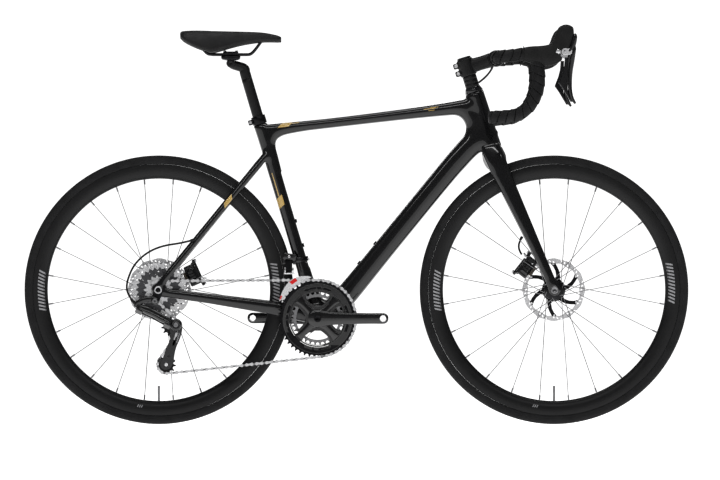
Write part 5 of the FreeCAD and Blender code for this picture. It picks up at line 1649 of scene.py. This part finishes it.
def make_cage():
    """Two plates that hold the pulleys; the outer one is an S with a long slot and guard tabs."""
    p, u, w = (P_PIVOT.x, P_PIVOT.z), (UPPER.x, UPPER.z), (LOWER.x, LOWER.z)
    outer = [
        (p[0] - 15, p[1] + 3), (p[0] - 11, p[1] + 11), (p[0] - 2, p[1] + 15), (p[0] + 8, p[1] + 13.5),
            (p[0] + 14.5, p[1] + 6),
        (p[0] + 16, p[1] - 6), (p[0] + 14, p[1] - 22), (p[0] + 8, p[1] - 40), (p[0] + 1, p[1] - 56),
            (w[0] + 22, w[1] + 30),
        (w[0] + 20, w[1] + 18), (w[0] + 17.5, w[1] + 6), (w[0] + 10, w[1] - 9), (w[0] - 4, w[1] - 12.5),
            (w[0] - 14, w[1] - 6),
        (w[0] - 15, w[1] + 5), (w[0] - 9, w[1] + 16), (w[0] - 4, w[1] + 30), (w[0] + 2, w[1] + 46),
            (w[0] + 8, w[1] + 60),
        (w[0] + 11.5, w[1] + 74), (p[0] - 15, p[1] - 16), (p[0] - 17, p[1] - 6),
    ]
    rounded = [(x, z) for x, z in spline_rows([(x, z) for x, z in outer + outer[:1]], 4)[:-1]]
    slot = stadium((p[0] + 2.4, p[1] - 18), (p[0] - 7.2, p[1] - 51), 3.0, 2.4)
    port = circle(w[0] + 6.5, w[1] + 22, 3.2)
    plates = [plate("outer_plate", rounded, -69.4, -67.1, 0.7, [slot, port], 2)]
    inner = stadium(u, (p[0] - 4, p[1] - 45), 11, 7.6)
    plates.append(plate("inner_top", inner, -56.9, -55.3, 0.4))
    plates.append(plate("inner_low", stadium((p[0] - 4, p[1] - 45), w, 7.6, 12.5), -56.9, -55.3, 0.4))
    guard = [(w[0] - 12, w[1] + 3), (w[0] - 21, w[1] + 5), (w[0] - 23, w[1] + 11),
        (w[0] - 18, w[1] + 16), (w[0] - 8, w[1] + 15)]
    plates.append(plate("rear_guard", guard, -69.0, -55.4, 1.0))
    lug = [(w[0] + 12, w[1] + 3), (w[0] + 21, w[1] + 6), (w[0] + 23.5, w[1] + 11),
        (w[0] + 18, w[1] + 14), (w[0] + 12, w[1] + 12)]
    plates.append(plate("front_guard", lug, -69.0, -66.8, 0.7))
    for piece in plates:
        wear(piece, "gloss_part")
    marks = []
    for i, length in enumerate((5, 3.4, 6, 3.4, 4.4)):
        t = 0.16 + 0.15 * i
        x = p[0] + 2.4 - 9.6 * t + 7.2
        z = p[1] - 18 - 33 * t
        marks.append(wear(block("cage_mark", (x - 1.1, -69.65, z - length / 2),
            (x + 1.1, -69.3, z + length / 2), 0.1, -12), "mark"))
    bolts = []
    for centre in (UPPER, LOWER):
        at = Vector((centre.x, -69.2, centre.z))
        bolts.append(wear(screw("pulley_screw", at, -Y, 4.2, 2.0, 1.8), "silver"))
        bolts.append(wear(bored_cylinder("pulley_pin", at, at + Y * 14, 2.5, 24), "steel"))
    pin = wear(bored_cylinder("cage_pin", P_PIVOT + Y * -83, P_PIVOT + Y * -68, 4.0, 32), "steel")
    riding(joined("rd_cage_plates", plates + bolts + marks + [pin]), "rd_cage", None, "rd_cage",
        slot="black_anodised")


# ------------------------------------------------------ front derailleur

def make_front_derailleur():
    seat_mid = seat_point(153)
    rings = []
    for h, r in ((-6.2, 20), (-5.4, 20.7), (5.4, 20.7), (6.2, 20), (6.2, 18.3), (-6.2, 18.3)):
        p = seat_mid + SEAT_UP * h
        _, _, n, b = ring_frames([p, p + SEAT_UP])[0]
        rings.append([mm(p + n * (r * math.cos(2 * math.pi * k / 64))
                         + b * (r * math.sin(2 * math.pi * k / 64)))
                      for k in range(64)])
    band = skin("band", rings, closed_ends=False, closed_loop=True)
    parts = [
        block("motor", (-186, -50, 416), (-152, -24, 432), 4, 8),
        block("shoulder", (-176, -42, 408), (-140, -14, 422), 3),
        block("cheek_a", (-186, -49, 404), (-179, -31, 424), 2.5),
        block("cheek_b", (-161, -49, 404), (-153, -31, 424), 2.5),
        block("lug", (-160, -16, 410), (-124, 6, 420), 3, 14),
    ]
    body = moulded("fd_block", parts, 1.3, 4)
    tube_room = bored_cylinder("tube_room", seat_point(90), seat_point(220), 18.4, 48)
    carve(body, tube_room)
    for piece, m in ((body, "gloss_part"), (band, "black")):
        wear(piece, m)
    screws = [wear(screw("fd_screw", (-170, -49.5, 424), -Y, 3.2, 1.6, 1.6), "silver"),
              wear(screw("fd_band_screw", (seat_mid.x + 20, -6, seat_mid.z + 3), -Y, 3.2, 3.0, 1.6),
                  "silver"),
              wear(screw("fd_stop", (-181, -40, 431), (0, 0, 1), 2.2, 2.0, 1.0), "silver")]
    riding(joined("fd_housing", [body, band] + screws), "frame", None, "fd_body", slot="black_anodised")


def cage_outline(drop, top):
    """A front cage plate: its lower edge follows the ring's tips, its ends taper."""
    lower = [flat_polar(BB, drop, 99 + 5.5 * k) for k in range(11)]
    upper = [flat_polar(BB, drop + top * r, a) for r, a in (
        (0.16, 155.5), (0.34, 150), (0.6, 142), (0.86, 133), (1.0, 124), (0.86, 115), (0.52, 106),
            (0.2, 99.5))]
    return [(x, z) for x, z in spline_rows(lower + upper + lower[:1], 3)[:-1]]


def make_front_cage():
    """Bright outer and inner plates with a bridge, and a red rubbing pad."""
    outer = plate("outer", cage_outline(104.2, 14), -52.7, -51.5, 0.35, segments=2)
    inner = plate("inner", cage_outline(96, 21), -43.5, -42.4, 0.35, segments=2)
    turn = Matrix.Translation(mm((BB.x, -52, 0))) @ Matrix.Rotation(math.radians(2.1), 4, "Z")
    turn = turn @ Matrix.Translation(-mm((BB.x, -52, 0)))
    for piece in (outer, inner):
        piece.data.transform(turn)
        wear(piece, "silver")
    bridge = block("bridge", (-183, -54.4, 379.6), (-156, -38.6, 383.2), 1.0)
    end = polar(BB, 105.5, 152)
    tail = block("tail_bridge", (end.x - 2, -56, end.z - 2), (end.x + 3, -46.5, end.z + 2), 1.0, 10)
    red = plate("red_pad", [flat_polar(BB, r, a) for r, a in ((116.5, 128), (117, 119), (108, 118),
        (107, 127))], -54.3, -52.5, 0.6)
    red_tail = plate("red_tail", [flat_polar(BB, r, a) for r, a in ((107, 153.5), (109.5, 148),
        (105.5, 147.5), (104.6, 153))], -56.3, -54.4, 0.4)
    red.data.transform(turn)
    for piece in (bridge, tail):
        wear(piece, "silver")
    for piece in (red, red_tail):
        wear(piece, "red")
    ears = [block("ear", (x, -48.6, 381), (x + 3, -39.4, 396.5), 1.0) for x in (-181.6, -161.4)]
    for piece in ears:
        wear(piece, "silver")
    pin = wear(bored_cylinder("pin", Vector((-182, -44, 392)), Vector((-158, -44, 392)), 2.0, 24), "steel")
    riding(joined("fd_cage_plates", [outer, inner, bridge, tail, red, red_tail, pin] + ears), "fd_cage",
        None, "fd_cage",
           slot="silver")


def make_crank_paint():
    m = material("crank_lacquer", (0.004, 0.004, 0.0045), rough=0.2, coat=0.8, coat_rough=0.05,
        specular=0.35)
    mottled(m, 40, 0.15, 0.24)
    grained(m, 700, 0.04, 0.0003)
    return m


MATERIALS["crank_gloss"] = make_crank_paint()
MATERIALS["red"] = make_rubber("red_pad", (0.55, 0.02, 0.02), 1500, 0.1)
make_cranks()
make_outer_link()
make_b_knuckle()
make_p_knuckle()
make_cage()
make_front_derailleur()
make_front_cage()


# ------------------------------------------------------- chain and cassette

def chain_links():
    """Each CAD link as (middle, unit direction, is it an outer link), read from the chain's solids."""
    work = bmesh.new()
    work.from_mesh(nodes["chain"].data)
    bmesh.ops.remove_doubles(work, verts=work.verts, dist=0.00001)
    found, links = set(), []
    for seed in work.verts:
        if seed in found:
            continue
        group, queue = [], [seed]
        found.add(seed)
        while queue:
            v = queue.pop()
            group.append(v.co.copy())
            for edge in v.link_edges:
                other = edge.other_vert(v)
                if other not in found:
                    found.add(other)
                    queue.append(other)
        points = np.array(group) / MM
        low, high = points.min(0), points.max(0)
        middle = (low + high) / 2
        flat = points[:, [0, 2]] - middle[[0, 2]]
        _, _, axes = np.linalg.svd(flat, full_matrices=False)
        links.append((Vector(middle), Vector((axes[0][0], 0, axes[0][1])), high[1] - low[1] > 4.9))
    work.free()
    return links


def link_outline(waist, steps=8):
    """A figure-of-eight plate, 12.7 mm between its pins, lying along X."""
    points = []
    for i in range(steps + 1):
        a = math.radians(50 + 260 * i / steps)
        points.append((-6.35 + 4.1 * math.cos(a), 4.1 * math.sin(a)))
    points.append((0, -waist))
    for i in range(steps + 1):
        a = math.radians(-130 + 260 * i / steps)
        points.append((6.35 + 4.1 * math.cos(a), 4.1 * math.sin(a)))
    points.append((0, waist))
    return points


def make_chain():
    """Waisted side plates and pins, one link at a time along the CAD chain."""
    shapes = {}
    for outer in (True, False):
        near, far = (1.9, 2.65) if outer else (1.15, 1.8)
        parts = [plate("p", link_outline(2.1), near, far, 0.18, segments=1),
                 plate("p", link_outline(2.1), -far, -near, 0.18, segments=1)]
        for x in (-6.35, 6.35):
            radius, reach = (1.7, 2.95) if outer else (3.7, 1.15)
            parts.append(lathe("pin", Vector((x, 0, 0)), [(0.2, -reach), (radius, -reach),
                (radius, reach), (0.2, reach)], 14))
        shape = joined("link", parts)
        shapes[outer] = shape
    vertices, faces, finish = [], [], []
    for middle, way, outer in chain_links():
        mesh = shapes[outer].data
        turn = Matrix((way, Y, way.cross(Y))).transposed()
        base = len(vertices)
        for v in mesh.vertices:
            vertices.append(turn @ v.co + mm(middle))
        for polygon in mesh.polygons:
            faces.append(tuple(base + i for i in polygon.vertices))
            finish.append(0 if outer else 1)
    for shape in shapes.values():
        bpy.data.objects.remove(shape)
    chain = from_data("chain_links", vertices, faces)
    wear(chain, "chain")
    chain.data.materials.append(MATERIALS["chain_inner"])
    chain.data.polygons.foreach_set("material_index", finish)
    chain.data.set_sharp_from_angle(angle=math.radians(35))
    riding(chain, "frame", None, "chain", slot="steel")


COGS = [11, 12, 13, 14, 15, 17, 19, 21, 24, 27, 30, 34]
COG_Y = -62.0
COG_STEP = 40.0 / 11


def make_cassette():
    """Twelve toothed cogs, the big ones drilled, on a dark carrier; the middle four get a darker steel as
    painted shade.
    """
    pieces = []
    for i, teeth in enumerate(COGS):
        y = COG_Y + i * COG_STEP
        radius = 12.7 / (2 * math.sin(math.pi / teeth))
        outline = []
        for k in range(teeth):
            step = 360 / teeth
            for share, r in ((0.0, radius - 3.9), (0.14, radius - 3.2), (0.27, radius - 0.6),
                (0.42, radius + 2.3),
                             (0.58, radius + 2.3), (0.73, radius - 0.6), (0.86, radius - 3.2)):
                outline.append(flat_polar(REAR, r, (k + share) * step))
        bore = 15.6 if i == 0 else 17.05
        holes = [circle(REAR.x, REAR.z, bore, 48)]
        if teeth >= 17:
            count = teeth // 2
            for k in range(count):
                a = 360 * (k + 0.25) / count
                holes.append(stadium(flat_polar(REAR, radius - 7.6, a), flat_polar(REAR, radius - 9.2,
                    a + 2.5), 1.9, 1.5, 6))
        if teeth >= 24:
            for k in range(6):
                window = [flat_polar(REAR, r, 60 * k + t) for r, t in (
                    (24, 8), (24, 30), (24, 50), (radius - 14, 44), (radius - 14, 30), (radius - 14, 14))]
                holes.append(window)
        cog = plate("cog", outline, y - 0.8, y + 0.8, 0.2, holes, 1)
        # painted shade: the four middle cogs wear a darkened steel that stands for the shade between the
        # cogs
        wear(cog, "cogs_painted_shade" if 6 <= i <= 9 else "cogs")
        pieces.append(cog)
    carrier = lathe("carrier", REAR, [(6.1, -70.5), (9.4, -70.5), (9.4, -66), (14.4, -66),
        (15.4, -64.6), (15.5, -57.2),
                                      (19, -56.8), (19.2, -21), (6.1, -20.7)], 64)
    wear(carrier, "black")
    ring = lathe("lock_ring", REAR, [(9.5, -66.6), (15.8, -66.6), (17.4, -65.6), (17.6, -63.4),
        (9.5, -63.4)], 64)
    wear(ring, "dark_steel")
    notches = [wear(block("notch", (REAR.x + 12.6 * math.cos(a) - 0.9, -67.1,
        REAR.z + 12.6 * math.sin(a) - 0.9),
                          (REAR.x + 12.6 * math.cos(a) + 0.9, -66.4, REAR.z + 12.6 * math.sin(a) + 0.9),
                              0.2), "black")
               for a in (2 * math.pi * k / 12 for k in range(12))]
    riding(joined("cog_stack", pieces + [carrier, ring] + notches), "cassette", None, "cassette",
        slot="steel")


# -------------------------------------------------- calipers, cables, bolts

def make_caliper(where, y, lean, centre):
    """A two-piece caliper with cooling ribs, its foot, two mounting screws and a hose fitting."""
    parts = [
        block("body", (-27, 5.4, -13), (27, 15.6, 15), 3.5), block("body", (-27, -15.6, -13),
            (27, -5.4, 15), 3.5),
        block("crown", (-22, -13, 6), (22, 13, 17), 4), block("foot", (-36, 2.5, 13), (36, 13.5, 21.5), 3),
        block("hump", (-16, -17.4, -9), (10, -13, 9), 3.5), block("neck", (-30, -4, 8), (-14, 12, 18), 3),
    ]
    body = moulded(f"{where}_caliper_body", parts, 1.2, 4)
    wear(body, "gloss_part")
    ribs = []
    for x in (-12, -4, 4, 12):
        ribs.append(wear(block("rib", (x - 1.2, -18.4, -10), (x + 1.2, -15.4, 10), 0.5), "black"))
    screws = [wear(screw("mount_screw", (x, 8, 21.2), (0, 0, 1), 4.4, 3.6, 2.2), "steel") for x in (-31,
        31)]
    screws.append(wear(screw("pad_pin", (14, -15.6, -4), (0, -1, 0), 2.6, 1.4, 1.4), "silver"))
    fitting = wear(pipe("fitting", [(18, -8, 17), (19, -8, 21), (21, -8, 26), (23, -8, 30)],
        [4.6, 4.2, 3.4, 3.0], steps=20,
                        per_span=4), "silver")
    whole = joined(f"{where}_caliper_body", [body, fitting] + ribs + screws)
    move = Matrix.Translation(mm((centre[0], y, centre[1]))) @ Matrix.Rotation(math.radians(lean), 4, "Y")
    whole.data.transform(move)
    body_name = "steering" if where == "front" else "frame"
    riding(whole, body_name, None, f"{where}_caliper", slot="black_anodised")


def flexible(name, points, body, *replaced):
    """A cable or hose as a smooth spline through the CAD route's points, in mm."""
    curve = bpy.data.curves.new(name, "CURVE")
    curve.dimensions = "3D"
    spline = curve.splines.new("NURBS")
    spline.points.add(len(points) - 1)
    for point, place in zip(spline.points, points):
        point.co = (*mm(place), 1)
    spline.order_u = 3
    spline.use_endpoint_u = True
    spline.resolution_u = 12
    curve.bevel_depth = 2.5 * MM
    curve.bevel_resolution = 6
    curve.use_fill_caps = True
    curve.materials.append(MATERIALS["housing"])
    obj = shown(bpy.data.objects.new(name, curve))
    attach(obj, body)
    if replaced:
        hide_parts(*replaced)
    return obj


SHIFT_ROUTE = [
    (-411, -67.6, 466), (-424, -69, 463), (-440, -70, 459), (-458, -73, 456), (-478, -76, 453),
        (-500, -79, 447),
    (-522, -82, 437), (-544, -84, 421), (-562, -86, 400), (-574, -87, 374), (-580, -87, 348),
        (-575, -86.5, 327),
    (-563.8, -86, 311.9),
]
FRONT_HOSE = [(420, 45, 474), (414, 44, 463), (411, 42, 451), (413, 40, 439), (419, 38.5, 429)]


def bar_hose(side):
    return [(345, side * 78, 907.5), (343, side * 62, 900), (338, side * 46, 892), (331, side * 32, 883),
            (322, side * 21, 874), (310, side * 12.5, 865)]


def make_ferrule(name, a, b, radius, body):
    """A short metal or plastic sleeve on the end of a cable."""
    a, b = Vector(a), Vector(b)
    way = (b - a).normalized()
    sleeve = pipe(name, [a - way * 1.0, a + way * 1, a + way * 6, a + way * 8.5],
        [radius * 0.8, radius, radius * 0.95, 2.7],
                  steps=24, per_span=3)
    riding(sleeve, body, "plastic", slot="plastic")
    sleeve.name = name


def make_cables():
    flexible("shift_cable_housing", SHIFT_ROUTE, "frame", "shift_housing")
    flexible("front_caliper_hose", FRONT_HOSE, "steering", "brake_hoses")
    for side, word in ((-1, "right"), (1, "left")):
        flexible(f"bar_hose_{word}", bar_hose(side), "steering", "brake_hoses")
    make_ferrule("shift_port", SHIFT_ROUTE[0], SHIFT_ROUTE[1], 3.9, "frame")
    make_ferrule("shift_end", SHIFT_ROUTE[-1], SHIFT_ROUTE[-2], 3.6, "frame")
    make_ferrule("hose_port", FRONT_HOSE[0], FRONT_HOSE[1], 3.6, "steering")


def make_bolts():
    """Bottle cage screws, the hanger screw and the axle's hex ends."""
    down_way = Vector((198, 0, 243)).normalized()
    down_out = Vector((-243, 0, 198)).normalized()
    pieces = []
    for distance in (-84, -20):
        at = Vector((80.7, 0, 456.3)) + down_way * distance + down_out * 25.4
        pieces.append(wear(screw("cage_screw", at, down_out, 5.4, 4.4, 2.3), "black"))
    seat_out = Vector((SEAT_UP.z, 0, -SEAT_UP.x))
    for distance in (188, 252):
        pieces.append(wear(screw("cage_screw", seat_point(distance) + seat_out * 15.6, seat_out, 5.0,
            4.2, 2.2), "black"))
    ring = lathe("axle_ring", REAR, [(6.2, -78.6), (9.8, -78.6), (9.8, -80.0), (8.8, -80.6),
        (6.2, -80.6)], 48)
    pieces.append(wear(ring, "steel"))
    riding(joined("frame_screws", pieces), "frame", None, "frame_bolts", slot="steel")
    hanger = plate("hanger", stadium((-508, 312), (-501, 331), 10.4, 11.2), -79.4, -75.4, 0.8,
                   [circle(-508, 312, 5.1, 28)], 2)
    shank = bored_cylinder("shank", Vector((-508, -93, 312)), Vector((-508, -75.4, 312)), 5.0, 32)
    wear(hanger, "black")
    wear(shank, "steel")
    riding(joined("hanger_plate", [hanger, shank]), "frame", None, "derailleur_hanger",
        slot="black_anodised")
    axle = []
    for side in (-1, 1):
        end = 63.4 if side < 0 else 66.8
        axle.append(wear(lathe("axle_end", FRONT, [(3.0, side * (end - 14)), (5.95, side * (end - 14)),
            (5.95, side * (end - 1.6)),
                                                   (9.6, side * (end - 1.4)), (9.6, side * (end - 0.4)),
                                                       (8.8, side * end),
                                                   (3.0, side * end)], 48), "dark_steel"))
    axle.append(wear(bored_cylinder("axle", FRONT - Y * 60, FRONT + Y * 60, 5.95, 32), "dark_steel"))
    riding(joined("front_axle", axle), "steering", None, "steering_fasteners", slot="steel")


def make_hub(where, centre, outline):
    """A turned hub shell with flanges, in one black anodised finish."""
    hub = lathe("hub", centre, outline, 96)
    bevelled(hub, 0.7, 2, 25)
    wear(hub, "hub_black")
    riding(hub, f"{where}_wheel", None, f"{where}_hub", slot="black_anodised")
    hub.name = f"{where}_hub_shell"


MATERIALS["chain_inner"] = make_steel("chain_inner", (0.16, 0.16, 0.165), (0.26, 0.26, 0.265), (0.3, 0.45))
# painted shade: a darkened steel for the middle cogs, standing in for the shade deep in the cassette
MATERIALS["cogs_painted_shade"] = make_steel("cogs_painted_shade", (0.05, 0.05, 0.052), (0.11, 0.11, 0.115), (0.26, 0.4))
MATERIALS["hub_black"] = make_anodised("hub_black", (0.016, 0.016, 0.017), (0.03, 0.03, 0.032),
    (0.22, 0.34))
make_chain()
make_cassette()
make_caliper("front", (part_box("front_rotor")[0].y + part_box("front_rotor")[1].y) / 2 / MM, -52,
    (433.5, 396.5))
make_caliper("rear", (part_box("rear_rotor")[0].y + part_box("rear_rotor")[1].y) / 2 / MM, 66, (-417, 376.5))
make_cables()
make_bolts()
make_hub("front", FRONT, [(6.1, -49.6), (10.5, -49.6), (10.5, -30), (12, -27), (25, -26), (26, -24.6),
    (25, -22.8), (14, -19),
                          (12.6, -8), (12.6, 8), (14, 17), (25, 20.6), (26, 22.2), (25, 24),
                              (17.0, 25.5), (17.0, 40.8),
                          (10.5, 41.5), (10.5, 49.6), (6.1, 49.6)])
make_hub("rear", REAR, [(6.1, -20.2), (17, -20.2), (25, -20), (26, -18.4), (25, -16.8), (15, -13),
    (13.8, 0), (13.8, 22),
                        (16, 28), (25, 32.4), (26, 34), (25, 35.6), (17, 37.2), (17, 58.8), (10.5, 60),
                            (10.5, 70.6),
                        (6.1, 70.6)])


# --------------------------------------------------- finishes of CAD nodes

CAD_WEAR = {
    "black": ["bottom_bracket", "headset_bearings", "chainring_large", "fd_link", "rear_thru_axle"],
    "dark_steel": ["front_spokes", "rear_spokes", "chainring_small"],
    "plastic": ["rd_pulley_upper", "rd_pulley_lower"],
    "lining": ["front_pad_inner", "front_pad_outer", "rear_pad_inner", "rear_pad_outer"],
}


def finish_cad_nodes():
    for key, names in CAD_WEAR.items():
        for name in names:
            wear(nodes[name], key)


finish_cad_nodes()
